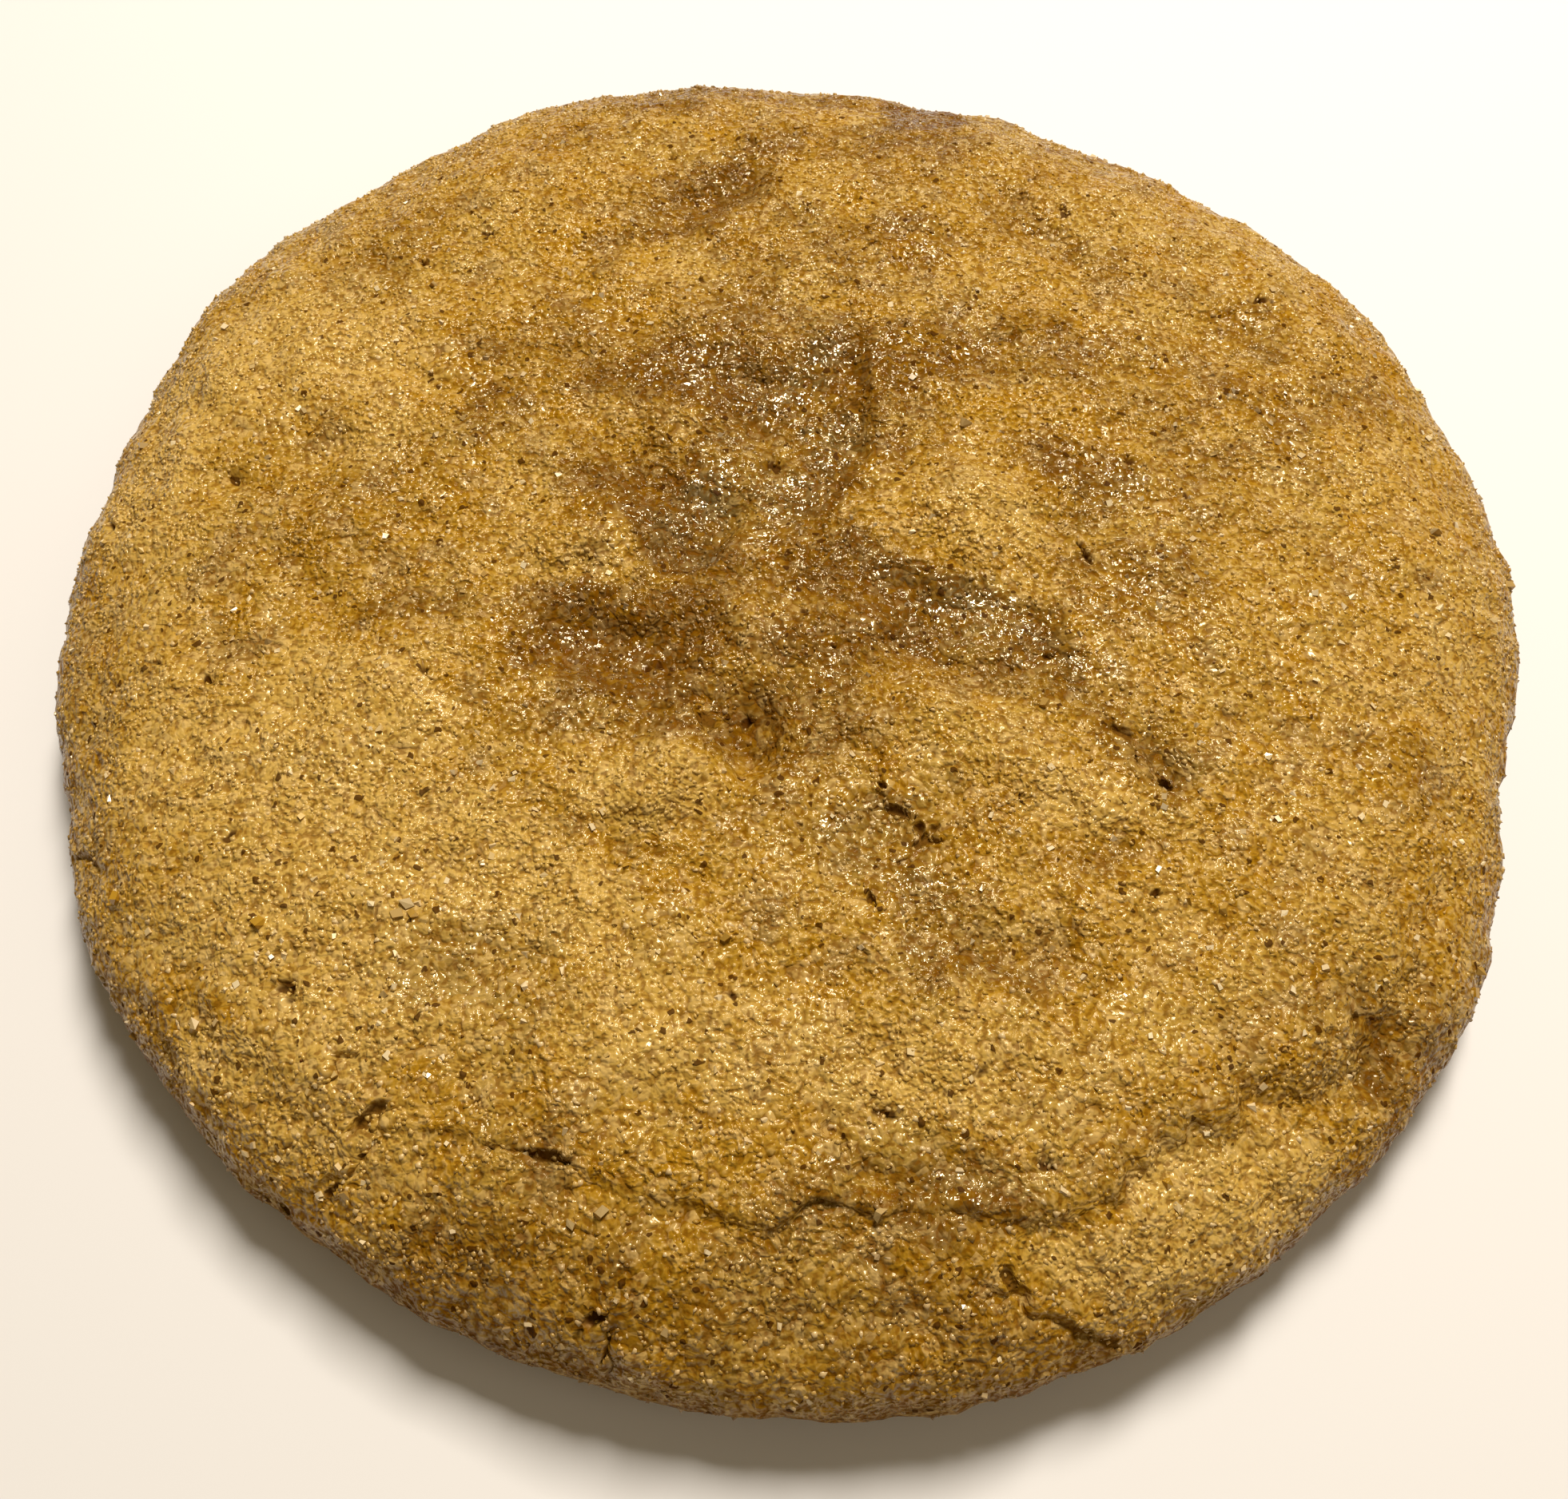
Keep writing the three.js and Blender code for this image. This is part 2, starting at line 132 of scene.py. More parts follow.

# %% [markdown]
# Patches of colour. The crust turned brown where sugar melted, and the brown ovals also hold
# painted shade of hollows and of slopes that face away from the light. A film of melted sugar lies
# in the deepest hollows, and its grey is partly its own and partly a painted sheen. Where sugar
# lies thick it stayed pale, and the pale ovals also hold painted light on lit mounds and lips.
# These patches are ovals too, listed under their strength. A strength below zero makes the crust
# paler instead of browner.

# %% Patches of colour, in millimetres
# Above zero: browning and painted shade of hollows and slopes. Below zero: pale sugar and painted light
# on lit mounds.
BROWNED_AND_SHADED = {  # strength: ovals of x, y, half length, half width, turn
    0.6: [(-2.5, 0, 18, 12.5, 95)],  # the whole sunken middle
    0.9: [
        (-4.6, 13, 5.5, 2.8, -8), (11, 43, 4, 2.4, 10), (-7.2, 0.8, 2.4, 3, 0),
    ],
    0.7: [
        (-11.8, -7.4, 6.6, 3.6, -8), (15.2, -10.4, 4.2, 2.8, -48), (7, 16.8, 6, 3.4, 0),
        (-7, 31.6, 9, 4.5, 47), (18.6, 4.4, 4.5, 3, 75), (20, -16.4, 3.2, 2.4, -40),
        (-24, -6.6, 4, 2.4, 0),
    ],
    0.5: [
        (5.4, -4.6, 4, 3, -30), (-2.5, 12.4, 3, 2.2, 0), (4.5, 26.5, 6.5, 4.5, 0), (18, 17, 5, 3, 0),
        (0, 48, 24, 4, 0), (36, 12, 6, 2.4, 8), (-11, -20.6, 4, 2.4, 0), (4.5, -41.4, 8, 2.2, -5),
        (-15, -45.5, 7, 4, -15), (21.5, -4.6, 4.5, 3.5, 0), (-4.5, 21.5, 3.5, 4.5, 0),
        (5, 40, 10, 2.2, 0), (33.5, 18.8, 3.5, 3, 0), (-20, 9.5, 3, 2.5, 0), (16, 8, 3, 2, 0),
        (36, -16.2, 3, 3, 0), (10.5, -30.5, 2.5, 1.5, 0), (35.5, -33, 4, 2.4, 50),
        (-6.2, 13.8, 2.6, 2, 0), (1.8, 4.4, 2.2, 2.6, 0),
    ],
    0.35: [
        (-8.6, 3.2, 7, 3, -50), (-16.5, -11.5, 5, 4, 0), (11, -7.6, 5.5, 2.4, -25),
        (4.8, 14.5, 5, 2.2, 88), (-12, 15.5, 5, 3, 0), (-29, 27, 6, 2.8, 80), (17.6, 30.2, 5, 2.6, -60),
        (25.5, 13.5, 5.5, 4, 20), (8, -26.8, 5.5, 3, -35), (17.6, -23.4, 3.5, 2.2, 15),
        (31, -33, 4.5, 3, 55), (13, -42.8, 6, 1.6, 8), (-14, -39.2, 5, 1.8, -14),
        (5, -47.5, 12, 4.5, 0), (-11, 41.5, 7, 4, 10), (9.5, 35.5, 4, 3, 0), (13.5, 20.2, 3, 2.5, 0),
        (-15.5, 20, 3, 2.5, 0), (25.5, 5, 3.5, 3, 0), (-12.8, 12.6, 3, 2.4, 0), (22.5, 25.8, 3, 3, 0),
        (-19, 40.2, 3, 2, 0), (33.5, 7.8, 3, 2.4, 0),
    ],
    0.2: [
        (-10, -12.4, 3, 1.6, 0), (-3.4, -14.8, 3.4, 2.2, -48), (4.5, -11.5, 5, 3.5, 0),
        (0, 13.4, 10, 4.6, 0), (-19, 13, 5, 4, 0), (-20.5, 17, 6, 3, 5), (27, 41, 10, 4, -38),
        (27.5, 1, 5, 4, 20), (5.4, -21.6, 4.6, 3.2, 10), (13, -30, 5.5, 1.8, 20), (-4, -43, 6, 1.6, 0),
        (-32, 4.5, 8, 6.5, 20), (22, 38, 6, 4, -20), (-5.8, 35.5, 2.5, 3, 0), (14.5, 37.5, 3.5, 2.5, 0),
    ],
    -0.2: [
        (-3, 3, 2.4, 2.4, 0), (24, -29.5, 6, 4, 10), (10.5, -12.5, 6, 4, 0), (-24, 37, 5, 3, 30),
        (-18, 32, 5, 4, 0),
    ],
    -0.35: [
        (9, -34.5, 9, 4, 10), (32, -20, 5, 6, 0), (38, -10, 5, 6, 0), (16.5, -18, 4.5, 3.5, 0),
        (41, 5, 5, 6, 0), (-9.2, 8, 2.5, 2, 0), (43.5, -5.8, 3, 4, 0), (-3.5, -8.8, 2, 2, 0),
        (-14.5, 8, 3, 2.5, 0), (20, -26.5, 3, 2.5, 0), (-39.5, -23.2, 3, 3, 0), (-18.5, -34.2, 3, 2, 0),
    ],
    -0.5: [
        (-40, -9, 4, 6, 0), (-25, -38.5, 5, 3, -20), (-6, -32.5, 8, 5, 0), (-26.8, 14.8, 3, 2.5, 0),
        (-17, 2, 2.5, 2.5, 0), (-8.8, 40, 3, 2, 0), (16, -20, 2.5, 2.5, 0),
    ],
    -0.7: [
        (11.6, 1.6, 6.8, 4.2, -8), (-13, -1.6, 5, 2.8, 8), (-36, 17, 9, 6, 15), (-44, 6, 4, 8, 0),
        (-27, -12, 8, 5.5, 10), (-27, -21, 6, 5, 0), (-9.2, 26, 3.5, 3, 0), (-33, -26.5, 5, 3.5, 0),
        (-31.5, -33.8, 3, 2.5, 0), (15, -44.8, 3, 2, 0), (-22.2, -14.6, 3.5, 2.5, 0),
    ],
    -0.9: [
        (-8.5, -17.5, 5.5, 3.4, 0), (-37, -16, 5, 4, 0), (-16, -23.5, 7, 4, -20),
        (-24, -30.5, 6, 4.5, 10), (22.5, -41.4, 9, 3.2, 30), (-29, 8.5, 3.5, 3, 0),
        (7.2, -35.8, 4, 2, 0), (-5.5, -35.5, 4, 2, 0),
    ],
}
# The grey of these ovals is partly the film's own colour and partly a painted sheen.
GREYED = {  # as above
    0.7: [
        (-6.6, 2, 3.4, 2.4, 60), (1.8, 15.6, 4.5, 2, 58), (3, 7.4, 3.4, 1.6, 62),
        (-2.6, 3.8, 5, 2.4, -35),
    ],
    0.45: [
        (-3.4, 13.2, 5.5, 2.6, -8), (5.2, -2.8, 3.4, 2, -20), (11.2, -6, 3.2, 1.8, -25),
        (8, -6.6, 3, 1.8, 0), (15.6, -10, 4.5, 2.2, -48), (4.2, -21.6, 4, 3, 0),
        (8, -26.6, 5, 2.8, -35), (19.4, 3, 3.6, 3, 60), (22.6, -15.4, 3, 2, -40),
        (-19.5, -29.2, 4, 3, 0),
    ],
    0.3: [
        (0, 9.6, 4, 3, 0), (6.5, -40.2, 7, 2.4, -6), (20, -37.6, 5, 2, 30), (-26, 6, 5, 4, 0),
    ],
}
PATCH_EDGE = 0.85  # share of an oval's half width over which its colour fades

patch_count = sum(len(ovals) for groups in (BROWNED_AND_SHADED, GREYED) for ovals in groups.values())
print(patch_count, "patches of colour")

# %% [markdown]
# No oval should show as one, so noise bends the coordinates before any oval is asked. Noise here
# means random numbers on a lattice, blended smoothly between its points. The seeds are fixed, so
# the cookie comes out the same each time.

# %% Noise, and sums of soft ovals
WANDERS = [  # pitch, reach, seeds of the two directions
    (5.0, 1.6, 10, 20),
    (1.9, 0.7, 11, 21),
]
LATTICE = 256


def soft_step(value, low, high):
    share = np.clip((value - low) / (high - low), 0, 1)
    return share * share * (3 - 2 * share)


def lattice_noise(x, y, pitch, seed):
    """Smooth random numbers from -1 to 1."""
    lattice = np.random.default_rng(seed).uniform(-1, 1, (LATTICE, LATTICE))
    column, row = np.floor(x / pitch).astype(int), np.floor(y / pitch).astype(int)
    right, up = soft_step(x / pitch - column, 0, 1), soft_step(y / pitch - row, 0, 1)
    corners = [lattice[(column + i) % LATTICE, (row + j) % LATTICE] for j in (0, 1) for i in (0, 1)]
    lower = corners[0] * (1 - right) + corners[1] * right
    upper = corners[2] * (1 - right) + corners[3] * right
    return lower * (1 - up) + upper * up


def wandered(x, y):
    bent_x, bent_y = x.copy(), y.copy()
    for pitch, reach, seed_x, seed_y in WANDERS:
        bent_x += reach * lattice_noise(x, y, pitch, seed_x)
        bent_y += reach * lattice_noise(x, y, pitch, seed_y)
    return bent_x, bent_y


def spot_reach(x, y, spot):
    """Zero at the middle of an oval spot and one on its edge."""
    middle_x, middle_y, long, wide, turn, *_ = spot
    cosine, sine = math.cos(math.radians(turn)), math.sin(math.radians(turn))
    along = ((x - middle_x) * cosine + (y - middle_y) * sine) / long
    across = ((y - middle_y) * cosine - (x - middle_x) * sine) / wide
    return np.hypot(along, across)


def spots_sum(x, y, spots):
    total = np.zeros_like(x)
    for spot in spots:
        height, edge = spot[5:]
        total += height * soft_step((1 - spot_reach(x, y, spot)) / edge, 0, 1)
    return total


def patches_sum(x, y, patches):
    """As above, but a patch keeps half of its strength on its edge and fades out beyond."""
    total = np.zeros_like(x)
    for strength, ovals in patches.items():
        for oval in ovals:
            inward = 1 - spot_reach(x, y, oval)
            total += strength * soft_step(inward, -PATCH_EDGE / 2, PATCH_EDGE / 2)
    return total


print("browned at the middle:", patches_sum(np.zeros(1), np.zeros(1), BROWNED_AND_SHADED).round(2))

# %% [markdown]
# The crease. Along the front the set crust slid over the softer lip below it and left a step with
# a groove at its foot. Its route is a list of bearings and radii, eased from one to the next, with
# the share of the full drop that it has there. A little noise makes the edge ragged, as torn
# crust is.

# %% The front crease, in millimetres
CREASE = [  # bearing, radius, share of the drop, half width
    (226, 44.5, 0, 0.3),
    (238, 43.6, 0.15, 0.3),
    (246, 41.8, 0.3, 0.3),
    (251, 41.2, 0.4, 0.3),
    (263, 42.3, 0.55, 0.35),
    (268.5, 42.6, 0.65, 0.25),
    (271.5, 41.4, 0.8, 0.15),
    (277, 42.3, 0.6, 0.35),
    (290, 44.4, 0.7, 0.5),
    (297, 43.3, 1.2, 0.8),
    (305, 43.4, 1.5, 1),
    (312, 45.6, 1.2, 0.8),
    (324, 45.5, 0, 0.5),
]
CREASE_DROP = 0.6
GROOVE_DEPTH = 0.12
GROOVE_WIDTH = 0.4
LIP_RECOVERY = 7
RAGGED_PITCH = 1.3
RAGGED_REACH = 0.5
RAGGED_SEED = 3
OVERHANG = 0.2
TUCKED_UNDER = 0.1
SHARP_WIDTHS = (0.4, 0.1)  # half widths at which the edge leans out not at all, and fully


def crease_at(bearing):
    """Radius of the crease, its share of the drop and its half width at each bearing."""
    stops, radii, shares, half_widths = np.array(CREASE).T
    turned = (bearing - stops[0]) % 360 + stops[0]
    after = np.searchsorted(stops, turned, side="right")
    closed = np.append(stops, stops[0] + 360)
    way = soft_step(turned, closed[after - 1], closed[np.minimum(after, len(stops))])

    def eased_between(values):
        values = np.append(values, values[0])
        return values[after - 1] * (1 - way) + values[np.minimum(after, len(stops))] * way

    share = eased_between(shares)
    round_way = np.radians(bearing) * PLAN_RADIUS
    ragged = RAGGED_REACH * share * lattice_noise(round_way, 0 * round_way, RAGGED_PITCH, RAGGED_SEED)
    return eased_between(radii) + ragged, share, eased_between(half_widths)


def crease_relief(distance, share, half_width):
    step = soft_step(distance, -half_width, half_width)
    recovery = 1 - soft_step(distance, 0, LIP_RECOVERY)
    groove = step * np.exp(-(((distance - half_width) / (GROOVE_WIDTH + half_width)) ** 2))
    return -share * (CREASE_DROP * step * recovery + GROOVE_DEPTH * groove)


def crease_overhang(distance, share, half_width):
    """How far the edge leans out over the groove, and the groove's foot goes in under it."""
    sharp = share * soft_step(half_width, *SHARP_WIDTHS)
    edge = OVERHANG * np.exp(-(((distance + half_width) / OVERHANG) ** 2))
    foot = TUCKED_UNDER * np.exp(-(((distance - half_width) / TUCKED_UNDER) ** 2))
    return sharp * np.where(distance < 0, edge, -foot)


print("the crease runs from bearing", CREASE[0][0], "to", CREASE[-1][0], "degrees")

# %% [markdown]
# Tears. Shorter steps run round the sunken middle and along the rim, where the crust broke and
# one side dropped. Each is a route of a few points: the side to the left of the way along it is
# the lower one, and the drop fades out over its reach. The signed distance to the nearest stretch
# of the route says how far a point lies from the tear, and on which side.

# %% Tears, in millimetres
TEARS = [  # drop, reach of the drop, half width of the wall, depth of the slit, route
    (0.8, 7, 0.7, 0, [(2.6, 4.4), (4.6, 7), (4.9, 10), (5.0, 14), (4.8, 19)]),
    (0.5, 5, 1.3, 0, [
        (-7.8, 4.4), (-8.8, 1.5), (-9.2, -1.2), (-10.4, -4.2), (-13.2, -5.6), (-17.6, -6.4),
    ]),
    (1.1, 4, 0.3, 0.2, [
        (-10.4, -12.2), (-7.6, -12.1), (-5.8, -13), (-4.8, -14.6), (-3.6, -17), (-2, -18.6),
    ]),
    (0.5, 4, 0.7, 0, [(18.5, -12), (14.5, -9.5), (11, -9), (7, -7.5), (4, -7)]),
    (0.35, 4, 0.3, 0.12, [(32.2, -29.6), (31.7, -31.6), (31.2, -34.2), (31.3, -37.4)]),
    (0.5, 4, 0.15, 0.25, [(18.6, -48), (15.5, -47.6), (12.8, -46.9), (11.4, -45.6), (9.2, -45.4)]),
    (0.15, 3, 0.12, 0.3, [(-9.2, -46.2), (-9.9, -47.8), (-9.4, -49), (-10.4, -50.4)]),
    (0.2, 4, 0.2, 0.15, [(-19.8, -36.2), (-22.6, -36.8), (-24, -39.6), (-26.4, -40.2), (-29, -41.2)]),
    (0.3, 4, 0.3, 0.2, [(8.6, -29.8), (11, -28.6), (13, -28.4), (15.4, -27.2)]),
    (0.3, 3, 0.15, 0.25, [(-23.6, -33.2), (-25.2, -33.9), (-26.2, -35.2)]),
    (0.3, 3, 0.15, 0.25, [(1.2, -37.4), (2.4, -38.4), (2.8, -39.8)]),
    (0.3, 3, 0.15, 0.3, [(-41, -22), (-43, -20.8), (-45, -20)]),
    (0.25, 5, 1.2, 0, [(-1.5, 40.4), (-4, 38), (-4.6, 35), (-9, 31), (-11.5, 29.6)]),
    (0.25, 5, 1.2, 0, [(15, 35.5), (16.6, 31.5), (19.4, 27.4), (20.4, 24)]),
]
TEAR_RAGGED_PITCH = 1.2
TEAR_RAGGED = 0.4
TEAR_SEED = 6
SLIT_WIDTH = 0.18
SLIT_SHOWS = (0.15, 0.5)  # depths at which a slit begins to show its dark inside, and shows it fully
TEAR_TAPER = 0.3  # share of its route over which a tear dies out at each end


def beside_route(x, y, route):
    """Distance left of a route, and how far along it the nearest point is, from 0 to 1."""
    nearest, aside, way = np.full_like(x, np.inf), np.zeros_like(x), np.zeros_like(x)
    for number, (start, stop) in enumerate(zip(route[:-1], route[1:])):
        run_x, run_y = stop[0] - start[0], stop[1] - start[1]
        from_x, from_y = x - start[0], y - start[1]
        share = np.clip((from_x * run_x + from_y * run_y) / (run_x**2 + run_y**2), 0, 1)
        off_x, off_y = from_x - share * run_x, from_y - share * run_y
        distance = np.hypot(off_x, off_y)
        closer = distance < nearest
        nearest = np.where(closer, distance, nearest)
        aside = np.where(closer, distance * np.sign(run_x * off_y - run_y * off_x), aside)
        way = np.where(closer, (number + share) / (len(route) - 1), way)
    return aside, way


def torn(x, y):
    """Depth of the tears below the crust, and one in their slits."""
    ragged = TEAR_RAGGED * lattice_noise(x, y, TEAR_RAGGED_PITCH, TEAR_SEED)
    depth, slits = np.zeros_like(x), np.zeros_like(x)
    for drop, reach, edge, slit_depth, route in TEARS:
        aside, way = beside_route(x, y, route)
        taper = soft_step(way, 0, TEAR_TAPER) * soft_step(1 - way, 0, TEAR_TAPER)
        aside = aside + ragged
        dropped = soft_step(aside, -edge, edge) * (1 - soft_step(aside, 0, reach))
        slit = taper * np.exp(-(((aside - SLIT_WIDTH / 2) / SLIT_WIDTH) ** 2))
        depth += taper * drop * dropped + slit_depth * slit
        slits = np.maximum(slits, slit * soft_step(slit_depth, *SLIT_SHOWS))
    return depth, slits


def near_slits(x, y, reach):
    near = np.zeros(len(x), bool)
    for *_, slit_depth, route in TEARS:
        if slit_depth:
            near |= np.abs(beside_route(x, y, route)[0]) < reach + TEAR_RAGGED
    return near


print(len(TEARS), "tears")

# %% [markdown]
# Openings. Steam and stretching left holes in the crust. They are ovals too, but steep and ragged,
# and they show the dark inside. Their depth is the deepest of all that reach a place, because two
# holes that meet are no deeper there.

# %% Holes, in millimetres
OPENINGS = [  # x, y, length, width, turn, depth
    (-5.5, -12.9, 1.7, 1.0, -20, 0.55),
    (-6.7, -11.9, 1.1, 0.8, 10, 0.35),
    (19.8, -14.4, 1.7, 0.8, -35, 0.4),
    (20.4, -15.8, 1.7, 0.5, -95, 0.35),
    (22.2, -17.6, 0.9, 0.7, 0, 0.5),
    (7.6, -21.2, 2.1, 0.7, 35, 0.5),
    (7.7, -21.2, 1.9, 0.6, -25, 0.5),
    (7.3, -20.9, 1.5, 0.6, 95, 0.45),
    (6.2, -19.5, 1.6, 0.35, -22, 0.4),
    (5.2, -18, 0.9, 0.5, -40, 0.35),
    (6.3, -22.6, 1.1, 0.35, 25, 0.3),
    (4.4, -25.2, 1.5, 0.5, 105, 0.5),
    (4.3, 11.6, 1.4, 0.7, 80, 0.5),
    (18.8, -1.4, 2, 0.5, 115, 0.45),
    (16, -8.8, 0.9, 0.5, -30, 0.4),
    (5.8, -14, 0.7, 0.5, 20, 0.45),
    (-22.8, -36.9, 2.6, 1.1, 30, 0.5),
    (-13.2, -39.1, 3.3, 0.6, -12, 0.35),
    (-16.2, -38.6, 1.1, 0.5, -30, 0.35),
    (-25, -40.3, 1.2, 0.5, 25, 0.4),
    (-28.2, -40.9, 1.4, 0.5, -30, 0.45),
    (31.7, -31.5, 0.9, 0.5, 80, 0.45),
    (32.2, -33.2, 1, 0.6, 20, 0.35),
    (11.2, -45.2, 1.3, 0.8, 80, 0.5),
    (10.3, -45.8, 1.8, 0.35, 30, 0.35),
    (14.6, -47.3, 2.4, 0.35, -14, 0.35),
    (16.6, -47.9, 1.4, 0.5, -20, 0.4),
    (-9.7, -48.1, 1.8, 0.5, 68, 0.5),
    (-42.8, -20.8, 1.8, 0.6, 28, 0.45),
]
OPENING_WALL = 0.45  # share of the half width that the wall takes
OPENING_RAGGED_PITCH = 0.6
OPENING_RAGGED = 0.6
OPENING_SEED = 5


def opened(x, y):
    """Depth of the holes and cracks, and one where they are open."""
    ragged = OPENING_RAGGED * lattice_noise(x, y, OPENING_RAGGED_PITCH, OPENING_SEED)
    depth, share = np.zeros_like(x), np.zeros_like(x)
    for middle_x, middle_y, length, width, turn, deep in OPENINGS:
        reach = spot_reach(x, y, (middle_x, middle_y, length / 2, width / 2, turn))
        here = soft_step(1 - reach + ragged, 0, OPENING_WALL)
        depth = np.maximum(depth, deep * here)
        share = np.maximum(share, here)
    return depth, share


def near_openings(x, y, reach):
    near = np.zeros(len(x), bool)
    for middle_x, middle_y, length, width, turn, _ in OPENINGS:
        widened = (middle_x, middle_y, length / 2 + reach, width / 2 + reach, turn)
        near |= spot_reach(x, y, widened) < 1
    return near


print(len(OPENINGS), "holes")

# %% [markdown]
# The height of the whole top is now one function of the plan position, and everything else in this
# lesson asks it where the crust is. A crown and a round shoulder give the smooth form. Hollows,
# mounds, the crease, tears and holes are then added to it or taken away.

# %% The height of the top, in millimetres
CROWN_HEIGHT = 12
RIM_HEIGHT = 9.5
WIDEST_HEIGHT = 3.8
SHOULDER_REACH = 9
CROWN_POWER = 4
RELIEF_FADE = 6


def top_surface(x, y):
    """Height of the top and the three things that the finish wants to know about it."""
    radius = np.hypot(x, y)
    bearing = np.degrees(np.arctan2(y, x)) % 360
    widest = plan_radius(bearing)
    crown = np.maximum(0, 1 - (radius / (widest - SHOULDER_REACH / 2)) ** CROWN_POWER)
    shoulder = np.clip((radius - widest + SHOULDER_REACH) / SHOULDER_REACH, 0, 1)
    rim = (RIM_HEIGHT - WIDEST_HEIGHT) * np.sqrt(1 - shoulder**2)
    smooth = WIDEST_HEIGHT + rim + (CROWN_HEIGHT - RIM_HEIGHT) * crown
    crease_radius, share, half_width = crease_at(bearing)
    slipped = crease_relief(radius - crease_radius, share, half_width)
    bent_x, bent_y = wandered(x, y)
    fade = soft_step(widest - radius, 0, RELIEF_FADE)
    soft = fade * (spots_sum(bent_x, bent_y, MOUNDS) - spots_sum(bent_x, bent_y, HOLLOWS))
    torn_depth, slits = torn(x, y)
    open_depth, holes = opened(x, y)
    height = smooth + soft + slipped - np.maximum(torn_depth, open_depth)
    browned_and_shaded, greyed = patches_sum(bent_x, bent_y, BROWNED_AND_SHADED), patches_sum(bent_x, bent_y, GREYED)
    return height, browned_and_shaded, greyed, np.maximum(slits, holes)


print("height at the middle:", np.round(top_surface(np.zeros(1), np.zeros(1))[0], 2), "mm")

# %% [markdown]
# The crust's mesh. A grid of squares would tear at the rim, so the skin is a stack of rings from
# the middle of the top, over the rim and round to the middle of the underside. Each ring has as
# many points as keeps them a set distance apart. The rows stand closest at the crease, where the
# crust is steepest.

# %% Rings of the skin
TOP_SPACING = 0.38
SIDE_SPACING = 0.42
# Distance of each row from the crease
CREASE_ROWS = np.array([-1.2, -0.85, -0.55, -0.3, -0.08, 0.08, 0.25, 0.5, 0.8, 1.1, 1.4])
SHOULDER_ROWS = 24
UNDERCUT_REACH = 4.5
UNDERCUT_ROWS = 14
UNDERSIDE_ROWS = 28
UNDERSIDE_SPACING = 1.6
UNDERSIDE_GROWTH = 3  # how fast the spacing grows towards the middle
UNDERSIDE_CROWDING = 0.8  # below one, the rings stand closer near the rim
FEWEST_POINTS = 6


def ring(count, radius_at, height=0.0):
    bearing = np.linspace(0, 360, count, endpoint=False)
    radius = radius_at(bearing)
    turn = np.radians(bearing)
    return np.stack([radius * np.cos(turn), radius * np.sin(turn), np.full(count, height)], 1)


def top_rings(side_count):
    """Plan positions of the top, from its middle out to the widest ring."""
    rings = [ring(1, lambda b: 0 * b)]
    inner_reach = PLAN_RADIUS - SHOULDER_REACH
    ring_total = round(inner_reach / TOP_SPACING)
    for number in range(1, ring_total + 1):
        share = number / ring_total
        count = max(FEWEST_POINTS, round(2 * math.pi * inner_reach * share / TOP_SPACING))
        rings.append(ring(count, lambda b: (crease_at(b)[0] + CREASE_ROWS[0]) * share))
    for distance in CREASE_ROWS[1:]:
        rings.append(ring(side_count, lambda b: crease_at(b)[0] + distance))
    for row in range(1, SHOULDER_ROWS + 1):
        share = math.sin(math.pi / 2 * row / SHOULDER_ROWS)
        lip = lambda b: (crease_at(b)[0] + CREASE_ROWS[-1]) * (1 - share) + plan_radius(b) * share
        rings.append(ring(side_count, lip))
    return rings


def low_rings(side_count):
    """Points of the undercut and the underside, in to the middle."""
    rings = []
    for row in range(1, UNDERCUT_ROWS + 1):
        angle = math.pi / 2 * row / UNDERCUT_ROWS
        drawn_in = UNDERCUT_REACH * (1 - math.cos(angle))
        height = WIDEST_HEIGHT * (1 - math.sin(angle))
        rings.append(ring(side_count, lambda b: plan_radius(b) - drawn_in, height))
    for share in np.linspace(1, 0, UNDERSIDE_ROWS + 1)[1:-1] ** UNDERSIDE_CROWDING:
        spacing = SIDE_SPACING + (UNDERSIDE_SPACING - SIDE_SPACING) * (1 - share) * UNDERSIDE_GROWTH
        spacing = min(spacing, UNDERSIDE_SPACING)
        count = max(FEWEST_POINTS, round(2 * math.pi * PLAN_RADIUS * share / spacing))
        rings.append(ring(count, lambda b: (plan_radius(b) - UNDERCUT_REACH) * share))
    rings.append(ring(1, lambda b: 0 * b))
    return rings


side_count = round(2 * math.pi * PLAN_RADIUS / SIDE_SPACING)
upper, lower = top_rings(side_count), low_rings(side_count)
print(len(upper), "rings on the top and", len(lower), "below")

# %% [markdown]
# Stitching. Neighbouring rings have different numbers of points, so the steps of both are sorted by
# how far round they are. Each step, taken in that order, makes one triangle with a point of the
# other ring.

# %% Triangles between the rings
def stitch(inner, outer):
    """Triangles between two neighbouring rings of point numbers."""
    inner_steps = np.arange(1, len(inner) + 1) / len(inner) if len(inner) > 1 else np.zeros(0)
    outer_steps = np.arange(1, len(outer) + 1) / len(outer) if len(outer) > 1 else np.zeros(0)
    order = np.argsort(np.concatenate([inner_steps, outer_steps]), kind="stable")
    on_outer = order >= len(inner_steps)
    i = np.cumsum(~on_outer) - ~on_outer
    j = np.cumsum(on_outer) - on_outer
    third = np.where(on_outer, outer[(j + 1) % len(outer)], inner[(i + 1) % len(inner)])
    return np.stack([inner[i % len(inner)], outer[j % len(outer)], third], 1)


points = np.concatenate(upper + lower)
on_top = np.arange(len(points)) < sum(len(r) for r in upper)
ring_starts = np.cumsum([0] + [len(r) for r in upper + lower])
ring_numbers = [np.arange(a, b) for a, b in zip(ring_starts[:-1], ring_starts[1:])]
triangles = np.concatenate([stitch(a, b) for a, b in zip(ring_numbers[:-1], ring_numbers[1:])])
print("skin:", len(points), "points,", len(triangles), "triangles")

